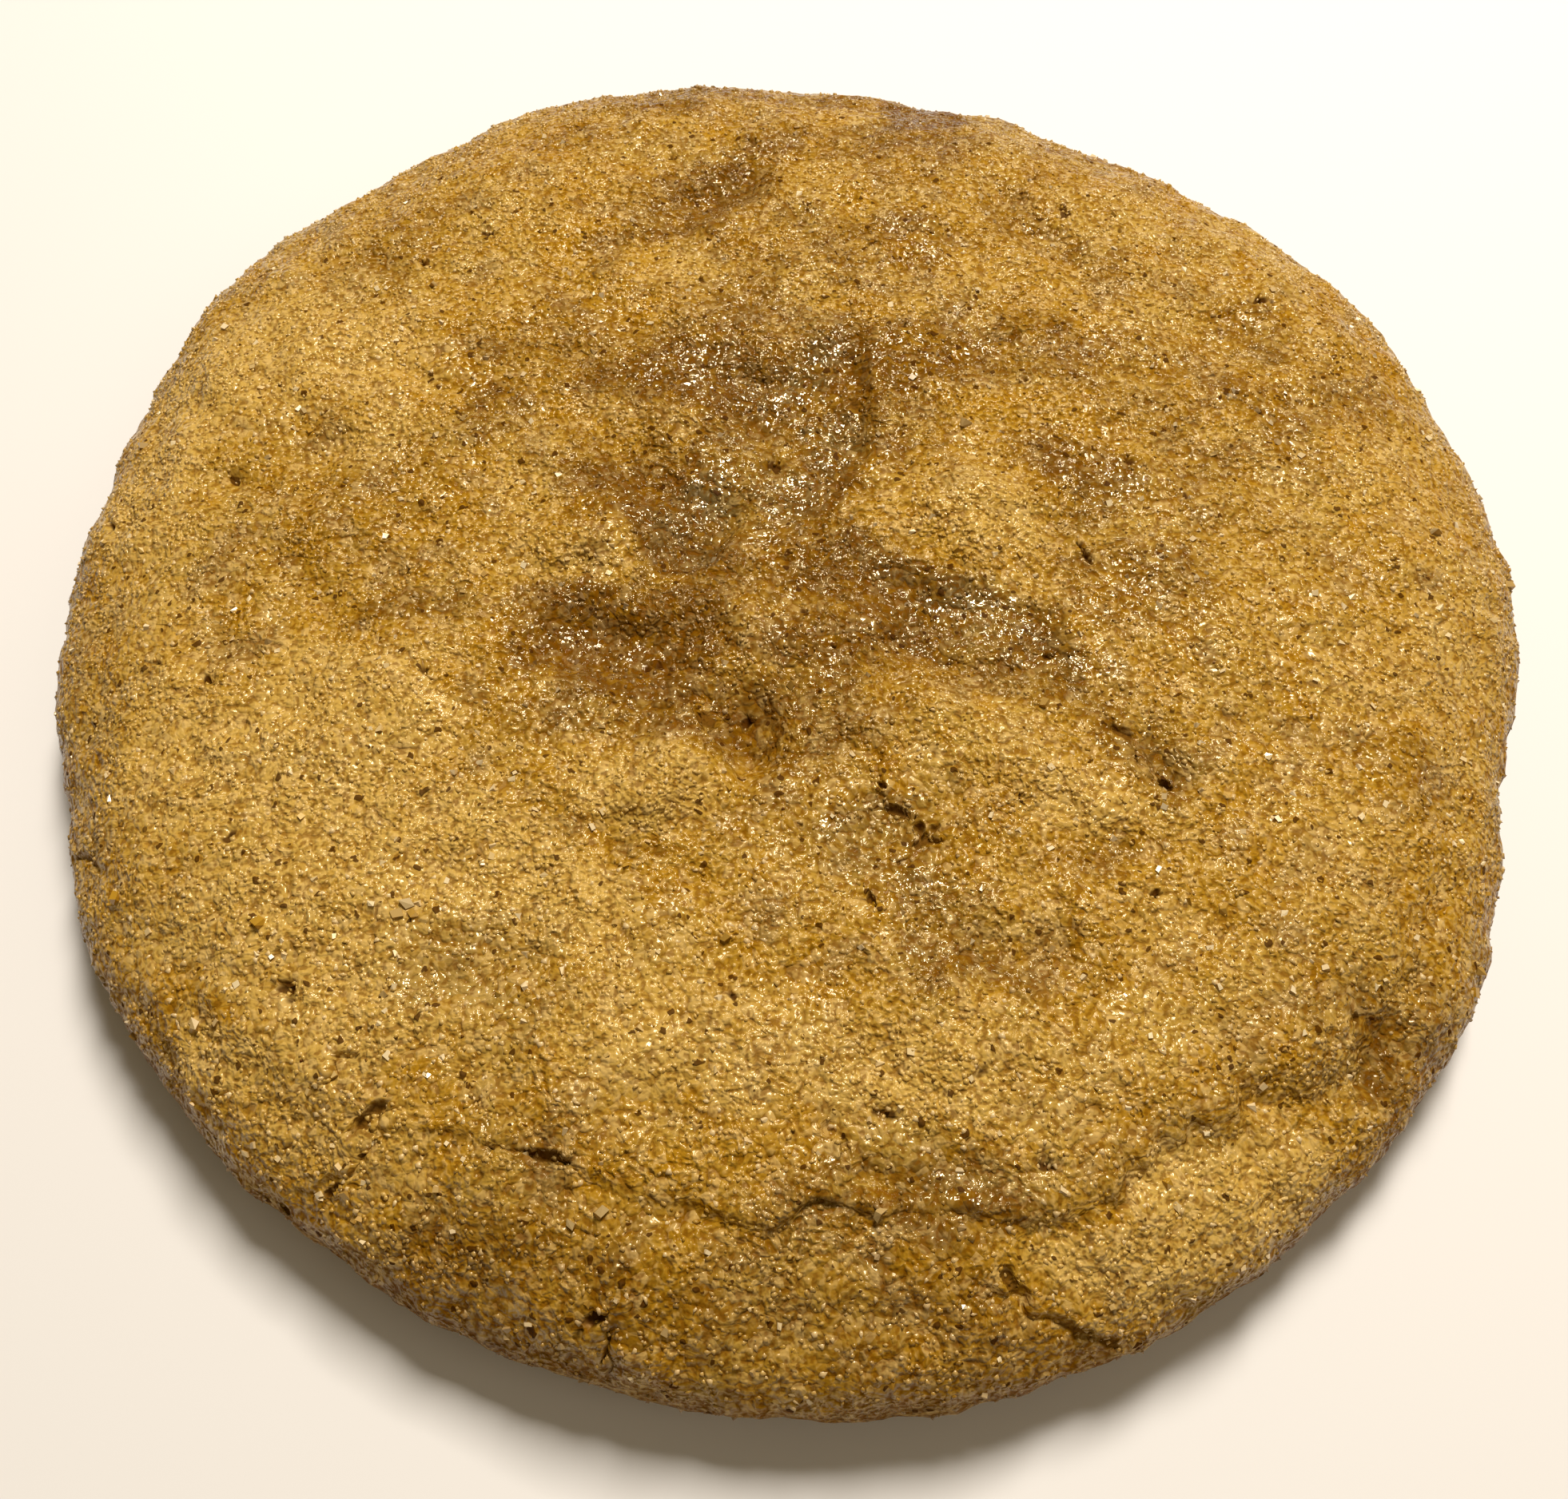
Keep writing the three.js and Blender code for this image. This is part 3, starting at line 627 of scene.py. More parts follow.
# %% [markdown]
# Finer mesh at the cracks. A crack is a fifth of a millimetre wide, too narrow for these triangles,
# and a mesh fine enough for it all over would be far too heavy. So edges near a crack are split in
# the middle, twice. Both triangles beside an edge see the same split, which leaves no gaps: a
# triangle becomes two, three or four, by how many of its sides are split.

# %% Split the edges near slits and openings
SPLIT_REACHES = (0.7, 0.25)
PIECES = {  # corners 0 to 2, and 3 to 5 for the middles of the sides that start at them
    0: [(0, 1, 2)],
    1: [(0, 3, 2), (3, 1, 2)],
    2: [(0, 3, 2), (3, 4, 2), (3, 1, 4)],
    3: [(0, 3, 5), (3, 1, 4), (5, 4, 2), (3, 4, 5)],
}


def split_near_cracks(points, on_top, triangles, reach):
    starts, stops = triangles, np.roll(triangles, -1, axis=1)
    keys = np.minimum(starts, stops) * len(points) + np.maximum(starts, stops)
    sides, side_of = np.unique(keys, return_inverse=True)
    side_of = side_of.reshape(-1, 3)
    ends = np.stack([sides // len(points), sides % len(points)], 1)
    middles = points[ends].mean(1)
    chosen = on_top[ends].all(1)
    x, y = middles[:, 0], middles[:, 1]
    chosen &= near_slits(x, y, reach) | near_openings(x, y, reach)
    numbers = np.where(chosen, len(points) + np.cumsum(chosen) - 1, -1)
    split = chosen[side_of]
    split_count = split.sum(1)
    first = np.where(split_count == 1, split.argmax(1), 0)
    first = np.where(split_count == 2, (~split).argmax(1) + 1, first)
    order = (first[:, None] + np.arange(3)) % 3
    named = np.concatenate([np.take_along_axis(a, order, 1) for a in (triangles, numbers[side_of])], 1)
    made = [named[split_count == count][:, piece] for count, pieces in PIECES.items() for piece in pieces]
    points = np.concatenate([points, middles[chosen]])
    return points, np.append(on_top, np.ones(chosen.sum(), bool)), np.concatenate(made)


for reach in SPLIT_REACHES:
    points, on_top, triangles = split_near_cracks(points, on_top, triangles, reach)
print("finer skin:", len(points), "points,", len(triangles), "triangles")

# %% [markdown]
# Only now does the top get its height. Each point of it asks the function above, leans out where
# the crease overhangs, and keeps how brown and shaded, how grey and how cracked the crust is there
# as attributes of the mesh, which the finish reads later.

# %% The crust as a mesh
def raised(points, on_top):
    """Puts the top's points at their heights; the finish's three numbers come back beside them."""
    x, y = points[on_top, 0], points[on_top, 1]
    height, *finish = top_surface(x, y)
    radius = np.hypot(x, y)
    crease_radius, share, half_width = crease_at(np.degrees(np.arctan2(y, x)) % 360)
    leaning = 1 + crease_overhang(radius - crease_radius, share, half_width) / np.maximum(radius, 1)
    points[on_top] = np.stack([x * leaning, y * leaning, height], 1)
    numbers = np.zeros((len(points), len(finish)))
    numbers[on_top] = np.stack(finish, 1)
    return points, numbers


def crust_mesh(name):
    places, numbers = raised(points.copy(), on_top)
    mesh = bpy.data.meshes.new(name)
    mesh.from_pydata(((places - [MIDDLE_X, MIDDLE_Y, 0]) * MM).tolist(), [], triangles.tolist())
    for column, attribute in enumerate(("browned_and_shaded", "greyed", "crack")):
        layer = mesh.attributes.new(attribute, "FLOAT", "POINT")
        layer.data.foreach_set("value", numbers[:, column].astype(np.float32))
    mesh.update()
    return mesh


crust = bpy.data.objects.new("cookie_crust", crust_mesh("cookie_crust"))
bpy.context.scene.collection.objects.link(crust)
print("crust:", len(crust.data.vertices), "points,", len(crust.data.polygons), "triangles")

# %% [markdown]
# Building node trees from a script goes faster with a few small helpers. One adds a node, sets its
# properties and fills or links its inputs. One gives a tree named inputs. One puts a tree on an
# object, sets the inputs by their identifiers, and makes the result a plain mesh, because an export
# drops whatever is still live or an instance. The rest do sums, and ease a value from one range
# into another.

# %% Helpers for node trees
def add(tree, kind, inputs=None, **settings):
    node = tree.nodes.new(kind)
    for name, value in settings.items():
        setattr(node, name, value)
    for key, value in (inputs or {}).items():
        if isinstance(value, bpy.types.NodeSocket):
            tree.links.new(value, node.inputs[key])
        else:
            node.inputs[key].default_value = value
    return node


def new_geometry_tree(name, sizes):
    """A tree with a geometry input, one named number for each size, and a geometry output."""
    tree = bpy.data.node_groups.new(name, "GeometryNodeTree")
    tree.interface.new_socket("Geometry", in_out="INPUT", socket_type="NodeSocketGeometry")
    tree.interface.new_socket("Geometry", in_out="OUTPUT", socket_type="NodeSocketGeometry")
    for size, value in sizes.items():
        kind = "NodeSocketInt" if isinstance(value, int) else "NodeSocketFloat"
        tree.interface.new_socket(size, in_out="INPUT", socket_type=kind)
    return tree, add(tree, "NodeGroupInput"), add(tree, "NodeGroupOutput")


def settle(piece, tree, sizes):
    """Runs the tree on the piece with these sizes and keeps the result as a plain mesh."""
    modifier = piece.modifiers.new(tree.name, "NODES")
    modifier.node_group = tree
    identifiers = {s.name: s.identifier for s in tree.interface.items_tree if s.in_out == "INPUT"}
    for size, value in sizes.items():
        modifier[identifiers[size]] = value
    graph = bpy.context.evaluated_depsgraph_get()
    made = bpy.data.meshes.new_from_object(
        piece.evaluated_get(graph), preserve_all_data_layers=True, depsgraph=graph
    )
    piece.modifiers.clear()
    made.name = piece.name
    piece.data = made


def maths(tree, operation, *values):
    node = add(tree, "ShaderNodeMath", dict(enumerate(values)), operation=operation)
    return node.outputs[0]


def product(tree, first, *others):
    for other in others:
        first = maths(tree, "MULTIPLY", first, other)
    return first


def eased(tree, value, low, high, to_low, to_high):
    sides = {"Value": value, "From Min": low, "From Max": high, "To Min": to_low, "To Max": to_high}
    return add(tree, "ShaderNodeMapRange", sides, interpolation_type="SMOOTHSTEP").outputs[0]


def rise_of(tree, vector):
    """The upward part of a vector, which is the height where the vector is a place."""
    return add(tree, "ShaderNodeSeparateXYZ", {0: vector}).outputs[2]


# %% [markdown]
# The colour of the dough. It is golden, mottled with straw, amber and grey tan. It is brown where
# sugar melted, with painted shade in the hollows, and pale on the sugared mounds, with painted light
# on lit mounds. A grey film, partly a painted sheen, lies in the deepest hollows. Down the sides it
# is darker, partly baked brown and partly painted shade, and underneath it is mottled brown. A
# picture could be painted for it, but noises mix it at any place and leave no seams. It is worked
# out once for each point of the mesh, so that sugar can take on the colour of the dough below it.

# %% Mottled dough
GOLD = (0.40, 0.212, 0.014, 1)
STRAW = (0.455, 0.272, 0.042, 1)
AMBER = (0.40, 0.194, 0.004, 1)
GREY_TAN = (0.29, 0.178, 0.050, 1)
BROWN = (0.12, 0.047, 0.002, 1)
GREY_FILM_AND_SHEEN = (0.13, 0.077, 0.016, 1)
PALE_DOUGH_AND_LIGHT = (0.575, 0.362, 0.078, 1)
BAKED_AND_SHADED_EDGE = (0.14, 0.054, 0.001, 1)
BAKED_BASE = (0.15, 0.06, 0.006, 1)
PALE_BASE = (0.27, 0.13, 0.020, 1)
MOTTLES = [  # pitch, detail, levels of the noise, most, colour
    (7.0, 3.0, (0.38, 0.62), 1, STRAW),
    (2.5, 4.0, (0.49, 0.64), 0.85, AMBER),
    (3.0, 4.0, (0.52, 0.66), 0.75, GREY_TAN),
]
BLOTCHES = (3.2, 3.0, 0.6, 1.1)  # pitch, detail, roughness, swing
SPECKLES = (0.8, 2.0, 0.7, 1.6)
BASE_NOISE = (8.0, 3.0, 0.6)  # pitch, detail, roughness
# Between its first two numbers, each of these eases from the third to the fourth
BLOTCHES_BY_BROWNING = (0, 0.5, 0.6, 1)
SPECKLES_BY_BROWNING = (-0.1, 0.4, 0.3, 1)
PALE_AND_LIGHT_BY_PATCHES = (-0.8, 0.0, 0.9, 0)
BROWN_AND_SHADE_BY_PATCHES = (-0.1, 1.0, 0, 0.97)
FILM_BY_BLOTCHES = (-0.2, 0.2, 0.4, 1)
EDGE_BY_HEIGHT = (2.5, 7.8, 0.95, 0)
BASE_BY_HEIGHT = (0.0, 1.6, 1, 0)
PALE_BASE_BY_NOISE = (0.4, 0.65, 0, 1)


def noise_at(tree, place, pitch, detail=2.0, roughness=0.5):
    scale = maths(tree, "DIVIDE", 1.0, pitch) if isinstance(pitch, bpy.types.NodeSocket) else 1 / pitch
    values = {"Vector": place, "Scale": scale, "Detail": detail, "Roughness": roughness}
    return add(tree, "ShaderNodeTexNoise", values).outputs[0]


def swinging(tree, place, pitch, detail, roughness, swing):
    """A noise that swings as far below zero as above it."""
    noise = noise_at(tree, place, pitch, detail, roughness)
    return maths(tree, "MULTIPLY_ADD", noise, swing, -swing / 2)


def mixed(tree, share, first, second):
    return add(tree, "ShaderNodeMix", {0: share, 6: first, 7: second}, data_type="RGBA").outputs[2]


def named_attribute(tree, name, kind="FLOAT"):
    return add(tree, "GeometryNodeInputNamedAttribute", {"Name": name}, data_type=kind).outputs[0]


def mottled_colour(tree, place):
    colour = GOLD
    for pitch, detail, levels, most, tint in MOTTLES:
        share = eased(tree, noise_at(tree, place, pitch, detail), *levels, 0, most)
        colour = mixed(tree, share, colour, tint)
    browned_and_shaded = named_attribute(tree, "browned_and_shaded")
    blotches, speckles = swinging(tree, place, *BLOTCHES), swinging(tree, place, *SPECKLES)
    for noise, share in ((blotches, BLOTCHES_BY_BROWNING), (speckles, SPECKLES_BY_BROWNING)):
        browned_and_shaded = maths(tree, "ADD", browned_and_shaded, product(tree, noise, eased(tree, browned_and_shaded, *share)))
    # Pale dough is sugar and painted light, and brown is browning and painted shade, both by the patches.
    colour = mixed(tree, eased(tree, browned_and_shaded, *PALE_AND_LIGHT_BY_PATCHES), colour, PALE_DOUGH_AND_LIGHT)
    colour = mixed(tree, eased(tree, browned_and_shaded, *BROWN_AND_SHADE_BY_PATCHES), colour, BROWN)
    # The grey film is partly its own colour and partly a painted sheen.
    film = product(tree, named_attribute(tree, "greyed"), eased(tree, blotches, *FILM_BY_BLOTCHES))
    colour = mixed(tree, film, colour, GREY_FILM_AND_SHEEN)
    height = rise_of(tree, place)
    # Darker down the sides: partly baked brown, partly painted shade of the side that faces away from the
    # key.
    colour = mixed(tree, eased(tree, height, *EDGE_BY_HEIGHT), colour, BAKED_AND_SHADED_EDGE)
    base_share = eased(tree, noise_at(tree, place, *BASE_NOISE), *PALE_BASE_BY_NOISE)
    base = mixed(tree, base_share, BAKED_BASE, PALE_BASE)
    return mixed(tree, eased(tree, height, *BASE_BY_HEIGHT), colour, base)


print("colours mottled over the golden dough:", len(MOTTLES))

# %% [markdown]
# Rough crust. Up close the top is never smooth: it swells in lumps a few millimetres wide, has a
# nubbly grain, and is pricked by pores where gas escaped. A tree moves each point along its normal
# by noises of three sizes, less a pit wherever a fourth noise is at its lowest. First it keeps the
# place of each point as an attribute, so that the finish can be painted on the unmoved dough.

# %% Lumps, nubs and pores by Geometry Nodes
ROUGH_SIZES = {
    "Lump pitch": 5.5,
    "Lump height": 1.2,
    "Nub pitch": 2.2,
    "Nub height": 0.55,
    "Grain pitch": 0.95,
    "Grain height": 0.32,
    "Pore pitch": 2.4,
    "Pore depth": 0.6,
    "Patch pitch": 4.5,
    "Bend pitch": 1.4,
    "Bend reach": 0.6,
}
PORE_LEVELS = (0.24, 0.285)
ROUGH_HEIGHTS = (0.3, 2.5)  # the flat underside stays smooth
GRAINY_BY_NOISE = (0.35, 0.65, 0.6, 1.4)
GRAINY_BY_FILM = (0, 0.6, 1, 0.8)


def kept_attribute(tree, geometry, name, value, kind="FLOAT", domain="POINT"):
    values = {"Geometry": geometry, "Name": name, "Value": value}
    return add(tree, "GeometryNodeStoreNamedAttribute", values, data_type=kind, domain=domain).outputs[0]


def scaled(tree, vector, factor):
    return add(tree, "ShaderNodeVectorMath", {0: vector, "Scale": factor}, operation="SCALE").outputs[0]


def bent_place(tree, place, size):
    """The place, moved by a noise, so that no cell of the grain has straight sides."""
    scale = maths(tree, "DIVIDE", 1.0, size["Bend pitch"])
    bend = add(tree, "ShaderNodeTexNoise", {"Vector": place, "Scale": scale, "Detail": 1.0}).outputs[1]
    reach = add(tree, "ShaderNodeCombineXYZ", {side: size["Bend reach"] for side in range(3)}).outputs[0]
    values = {0: bend, 1: reach, 2: place}
    return add(tree, "ShaderNodeVectorMath", values, operation="MULTIPLY_ADD").outputs[0]


def graininess(tree, place, size):
    patches = eased(tree, noise_at(tree, place, size["Patch pitch"], 3.0), *GRAINY_BY_NOISE)
    return product(tree, patches, eased(tree, named_attribute(tree, "greyed"), *GRAINY_BY_FILM))


def roughness_height(tree, place, size):
    """How far each point moves along its normal, in metres."""
    moved = 0.0
    for kind in ("Lump", "Nub", "Grain"):
        level = maths(tree, "SUBTRACT", noise_at(tree, place, size[f"{kind} pitch"], 1.0), 0.5)
        moved = maths(tree, "MULTIPLY_ADD", level, size[f"{kind} height"], moved)
    pore = eased(tree, noise_at(tree, place, size["Pore pitch"]), *PORE_LEVELS, 1, 0)
    moved = maths(tree, "SUBTRACT", moved, product(tree, pore, size["Pore depth"]))
    return product(tree, moved, eased(tree, rise_of(tree, place), *ROUGH_HEIGHTS, 0, MM))


def rough_tree():
    tree, given, result = new_geometry_tree("rough crust", ROUGH_SIZES)
    size = given.outputs
    place = scaled(tree, add(tree, "GeometryNodeInputPosition").outputs[0], 1 / MM)
    kept = kept_attribute(tree, size["Geometry"], "dough_place", place, "FLOAT_VECTOR")
    kept = kept_attribute(tree, kept, "dough_colour", mottled_colour(tree, place), "FLOAT_COLOR")
    kept = kept_attribute(tree, kept, "grain_place", bent_place(tree, place, size), "FLOAT_VECTOR")
    kept = kept_attribute(tree, kept, "grainy", graininess(tree, place, size))
    normal = add(tree, "GeometryNodeInputNormal").outputs[0]
    offset = scaled(tree, normal, roughness_height(tree, place, size))
    shifted = add(tree, "GeometryNodeSetPosition", {"Geometry": kept, "Offset": offset}).outputs[0]
    tree.links.new(shifted, result.inputs[0])
    return tree


settle(crust, rough_tree(), ROUGH_SIZES)
crust.data.polygons.foreach_set("use_smooth", np.ones(len(crust.data.polygons), bool))
print("rough crust:", len(crust.data.polygons), "triangles,", len(crust.data.attributes), "attributes")

# %% [markdown]
# The grain of the dough. The mesh has its colour already, and the finish adds what is finer than
# the mesh. Voronoi cells as wide as a grain of sugar are tinted one by one. A fine noise and the
# edges of the cells put painted shade into the gaps, and the tops of the noise turn pale, partly
# sugar and partly a painted highlight. A few ragged cells are pits. Pits and pores are painted
# nearly black, the painted shade of a small hole, and the wider cracks show a browner torn inside.

# %% Grain, gaps and pits in the dough
GAP_SHADE = (0.16, 0.052, 0.0005, 1)
PALE_TOP_AND_HIGHLIGHT = (0.65, 0.43, 0.14, 1)
PALE_GRAIN = (0.64, 0.43, 0.15, 1)
AMBER_GRAIN = (0.36, 0.172, 0.004, 1)
PIT_SHADE = (0.055, 0.015, 0.0004, 1)
TORN_INSIDE = (0.13, 0.052, 0.004, 1)
INSIDE_SHARE = 0.9
FINE_NOISE = (0.34, 1.0, 0.4)  # pitch, detail, roughness
GRAIN_PITCH = 0.54
PIT_CELLS = (0.09, 0.095)
PIT_REACH = (0.4, 0.5)
PIT_RAGGED = 1.2
PIT_SPREAD = 0.35
UNMELTED_BY_BROWNING = (0.1, 0.9, 1, 0.4)
AMBER_BY_TINT = (0.05, 0.35, 0.4, 0)
PALE_BY_TINT = (0.65, 0.95, 0, 0.5)
GAP_BY_NOISE = (0.32, 0.5, 0.65, 0)
GAP_BY_DISTANCE = (0.6, 0.9, 0, 0.65)
TOP_BY_NOISE = (0.53, 0.7, 0, 0.4)


def attribute(tree, name, output="Fac"):
    return add(tree, "ShaderNodeAttribute", attribute_name=name).outputs[output]


def grain_colour(tree, fine, tint, gap):
    colour = attribute(tree, "dough_colour", "Color")
    colour = mixed(tree, eased(tree, tint, *AMBER_BY_TINT), colour, AMBER_GRAIN)
    unmelted = eased(tree, attribute(tree, "browned_and_shaded"), *UNMELTED_BY_BROWNING)
    colour = mixed(tree, product(tree, unmelted, eased(tree, tint, *PALE_BY_TINT)), colour, PALE_GRAIN)
    # Painted shade in the gaps between grains.
    colour = mixed(tree, gap, colour, GAP_SHADE)
    # Pale tops, partly sugar and partly a painted highlight.
    return mixed(tree, product(tree, unmelted, eased(tree, fine, *TOP_BY_NOISE)), colour, PALE_TOP_AND_HIGHLIGHT)


def pits_and_pores(tree, place, fine, tint, luck, away):
    """One in the pores of the mesh and in the few cells whose luck is low, with ragged edges."""
    pore = eased(tree, noise_at(tree, place, ROUGH_SIZES["Pore pitch"]), *PORE_LEVELS, 1, 0)
    edge = maths(tree, "MULTIPLY_ADD", maths(tree, "SUBTRACT", 0.5, fine), PIT_RAGGED, away)
    edge = maths(tree, "MULTIPLY_ADD", tint, PIT_SPREAD, edge)
    pit = product(tree, eased(tree, luck, *PIT_CELLS, 1, 0), eased(tree, edge, *PIT_REACH, 1, 0))
    return maths(tree, "MAXIMUM", pore, pit)


print("grain of the dough:", GRAIN_PITCH, "mm wide")

# %% [markdown]
# The shine of the dough. Melted sugar mirrors the light, most in the sunken middle, and a bump
# breaks that mirror into glints: each cell is a dome, and the fine noise roughens it. The shine
# comes in patches, is weak down the sides, and is lost in gaps and openings.

# %% The baked dough material
FINE_BUMP = 0.24
DOME_BUMP = 0.14
GLOSS_PITCH = 2.6
GLOSS_LEVELS = (0.42, 0.6)
DOUGH_GLOSS = (0.5, 1.5)  # dull and bright patches
DOUGH_GLINT = (1.0, 0.86, 0.60, 1)
OPEN_ROUGHNESS = 0.7
FILM_SHINE = 0.6
ROUGHNESS_BY_MELTING = (0.1, 0.9, 0.2, 0.14)
SHINE_BY_BROWNING = (0.1, 0.9, 0.4, 0.55)
SHINE_BY_GAPS = (0, 0.5, 1, 0.08)
SHINE_BY_HEIGHT = (3.0, 8.0, 0.1, 1)


def new_material(name):
    material = bpy.data.materials.new(name)
    material.use_nodes = True
    tree = material.node_tree
    tree.nodes.clear()
    shader = add(tree, "ShaderNodeBsdfPrincipled")
    add(tree, "ShaderNodeOutputMaterial", {"Surface": shader.outputs[0]})
    return material, tree, shader


def gloss_patches(tree, place, dull, bright):
    """Melted sugar shines in patches, and both dough and grains follow the same ones."""
    return eased(tree, noise_at(tree, place, GLOSS_PITCH), *GLOSS_LEVELS, dull, bright)


def dough_roughness(tree, open_share):
    melted = maths(tree, "MAXIMUM", attribute(tree, "browned_and_shaded"), attribute(tree, "greyed"))
    smooth = eased(tree, melted, *ROUGHNESS_BY_MELTING)
    return maths(tree, "MAXIMUM", smooth, product(tree, open_share, OPEN_ROUGHNESS))


def dough_shine(tree, place, open_share, gap):
    film = product(tree, attribute(tree, "greyed"), FILM_SHINE)
    shine = maths(tree, "ADD", eased(tree, attribute(tree, "browned_and_shaded"), *SHINE_BY_BROWNING), film)
    in_gaps = eased(tree, maths(tree, "MAXIMUM", open_share, gap), *SHINE_BY_GAPS)
    on_side = eased(tree, rise_of(tree, place), *SHINE_BY_HEIGHT)
    return product(tree, shine, in_gaps, on_side, gloss_patches(tree, place, *DOUGH_GLOSS))


def dough_bump(tree, fine, away):
    height = product(tree, fine, product(tree, attribute(tree, "grainy"), FINE_BUMP))
    height = maths(tree, "MULTIPLY_ADD", product(tree, away, away), -DOME_BUMP, height)
    return add(tree, "ShaderNodeBump", {"Strength": 1.0, "Distance": MM, "Height": height}).outputs[0]


def dough_material():
    material, tree, shader = new_material("baked_dough")
    place = attribute(tree, "dough_place", "Vector")
    bent = attribute(tree, "grain_place", "Vector")
    fine = noise_at(tree, bent, *FINE_NOISE)
    cells = add(tree, "ShaderNodeTexVoronoi", {"Vector": bent, "Scale": 1 / GRAIN_PITCH}).outputs
    tint, luck = add(tree, "ShaderNodeSeparateColor", {0: cells["Color"]}).outputs[:2]
    away = cells["Distance"]
    gap = maths(tree, "MAXIMUM", eased(tree, fine, *GAP_BY_NOISE), eased(tree, away, *GAP_BY_DISTANCE))
    pits, crack = pits_and_pores(tree, place, fine, tint, luck, away), attribute(tree, "crack")
    colour = grain_colour(tree, fine, tint, gap)
    colour = mixed(tree, product(tree, crack, INSIDE_SHARE), colour, TORN_INSIDE)
    # Pits and pores are painted nearly black, the painted shade inside a small hole.
    colour = mixed(tree, product(tree, pits, INSIDE_SHARE), colour, PIT_SHADE)
    open_share = maths(tree, "MAXIMUM", pits, crack)
    tree.links.new(colour, shader.inputs["Base Color"])
    tree.links.new(dough_roughness(tree, open_share), shader.inputs["Roughness"])
    tree.links.new(dough_shine(tree, place, open_share, gap), shader.inputs["Specular IOR Level"])
    tree.links.new(dough_bump(tree, fine, away), shader.inputs["Normal"])
    shader.inputs["Specular Tint"].default_value = DOUGH_GLINT
    return material


crust.data.materials.clear()
dough = dough_material()
crust.data.materials.append(dough)
print("material:", dough.name, "with", len(dough.node_tree.nodes), "nodes")

# %% [markdown]
# Where the sugar lies. The crust is full of grains about half a millimetre wide. A tree scatters
# points over it, in patches, fewer where the sugar melted and low down the side, and sinks each
# point a little into the dough.

# %% Scattered points by Geometry Nodes
GRAIN_SIZES = {
    "Density": 3.0,
    "Smallest": 0.12,
    "Largest": 0.28,
    "Sunk": 0.07,
    "Lowest": 1.0,
    "Patch pitch": 6.0,
    "Seed": 1,
}
GRAINS_BY_HEIGHT = (3.0, 8.0, 0.08, 1)
GRAINS_BY_NOISE = (0.3, 0.65, 0.3, 1.0)
GRAINS_BY_BROWNING = (0.2, 0.9, 1, 0.5)


def scattered_points(tree, size):
    place = named_attribute(tree, "dough_place", "FLOAT_VECTOR")
    height = rise_of(tree, place)
    elsewhere = add(tree, "ShaderNodeVectorMath", {0: place, 1: size["Seed"]}).outputs[0]
    share = product(
        tree,
        maths(tree, "GREATER_THAN", height, size["Lowest"]),
        eased(tree, height, *GRAINS_BY_HEIGHT),
        eased(tree, noise_at(tree, elsewhere, size["Patch pitch"]), *GRAINS_BY_NOISE),
        eased(tree, named_attribute(tree, "browned_and_shaded"), *GRAINS_BY_BROWNING),
    )
    density = product(tree, share, product(tree, size["Density"], 1 / MM**2))
    values = {"Mesh": size["Geometry"], "Density": density, "Seed": size["Seed"]}
    spread = add(tree, "GeometryNodeDistributePointsOnFaces", values).outputs
    down = scaled(tree, spread["Normal"], product(tree, size["Sunk"], -MM))
    return add(tree, "GeometryNodeSetPosition", {0: spread["Points"], "Offset": down}).outputs[0]


print("golden grains: at most", GRAIN_SIZES["Density"], "on a square millimetre")

# %% [markdown]
# A grain on each point. Most grains half melted into smooth pebbles, and the clear ones are still
# blocks. A pebble is two five-sided pyramids, base to base and shaded smooth: ten triangles, which
# keeps thousands of them light. Each grain gets random sides, a random turn and a number for its
# tint, and each of its faces keeps how far it looks upward.

# %% Pebbles and blocks on the points
BLOCK_SIDE = 1.7
BLOCK_ASKEW = 0.4
SIDE_SEED = 100  # added to the seed, so that no two draws are alike
TINT_SEED = 200
BLOCK_SEED = 0


def random_vector(tree, least, most, seed):
    values = {0: least, 1: most, "Seed": seed}
    return add(tree, "FunctionNodeRandomValue", values, data_type="FLOAT_VECTOR").outputs[0]


def clear_block(tree):
    cube = add(tree, "GeometryNodeMeshCube", {"Size": (BLOCK_SIDE,) * 3}).outputs[0]
    askew = random_vector(tree, (-BLOCK_ASKEW,) * 3, (BLOCK_ASKEW,) * 3, BLOCK_SEED)
    return add(tree, "GeometryNodeSetPosition", {0: cube, "Offset": askew}).outputs[0]


def smooth_pebble(tree):
    sphere = add(tree, "GeometryNodeMeshUVSphere", {"Radius": 1.0, "Segments": 5, "Rings": 2}).outputs[0]
    return add(tree, "GeometryNodeSetShadeSmooth", {0: sphere}).outputs[0]


def grains_on(tree, points, size, blocks, material):
    """A grain on each point, realized and with its material."""
    seed = size["Seed"]
    turn = random_vector(tree, (0, 0, 0), (2 * math.pi,) * 3, seed)
    least, most = (product(tree, size[name], MM) for name in ("Smallest", "Largest"))
    sides = random_vector(tree, least, most, maths(tree, "ADD", seed, SIDE_SEED))
    grain = clear_block(tree) if blocks else smooth_pebble(tree)
    values = {"Points": points, "Instance": grain, "Rotation": turn, "Scale": sides}
    grains = add(tree, "GeometryNodeInstanceOnPoints", values).outputs[0]
    tint_seed = maths(tree, "ADD", seed, TINT_SEED)
    tint = add(tree, "FunctionNodeRandomValue", {"Seed": tint_seed}).outputs[1]
    grains = kept_attribute(tree, grains, "tint", tint, domain="INSTANCE")
    solid = add(tree, "GeometryNodeRealizeInstances", {0: grains}).outputs[0]
    upward = rise_of(tree, add(tree, "GeometryNodeInputNormal").outputs[0])
    solid = kept_attribute(tree, solid, "upward", upward, domain="FACE")
    return add(tree, "GeometryNodeSetMaterial", {"Geometry": solid, "Material": material}).outputs[0]


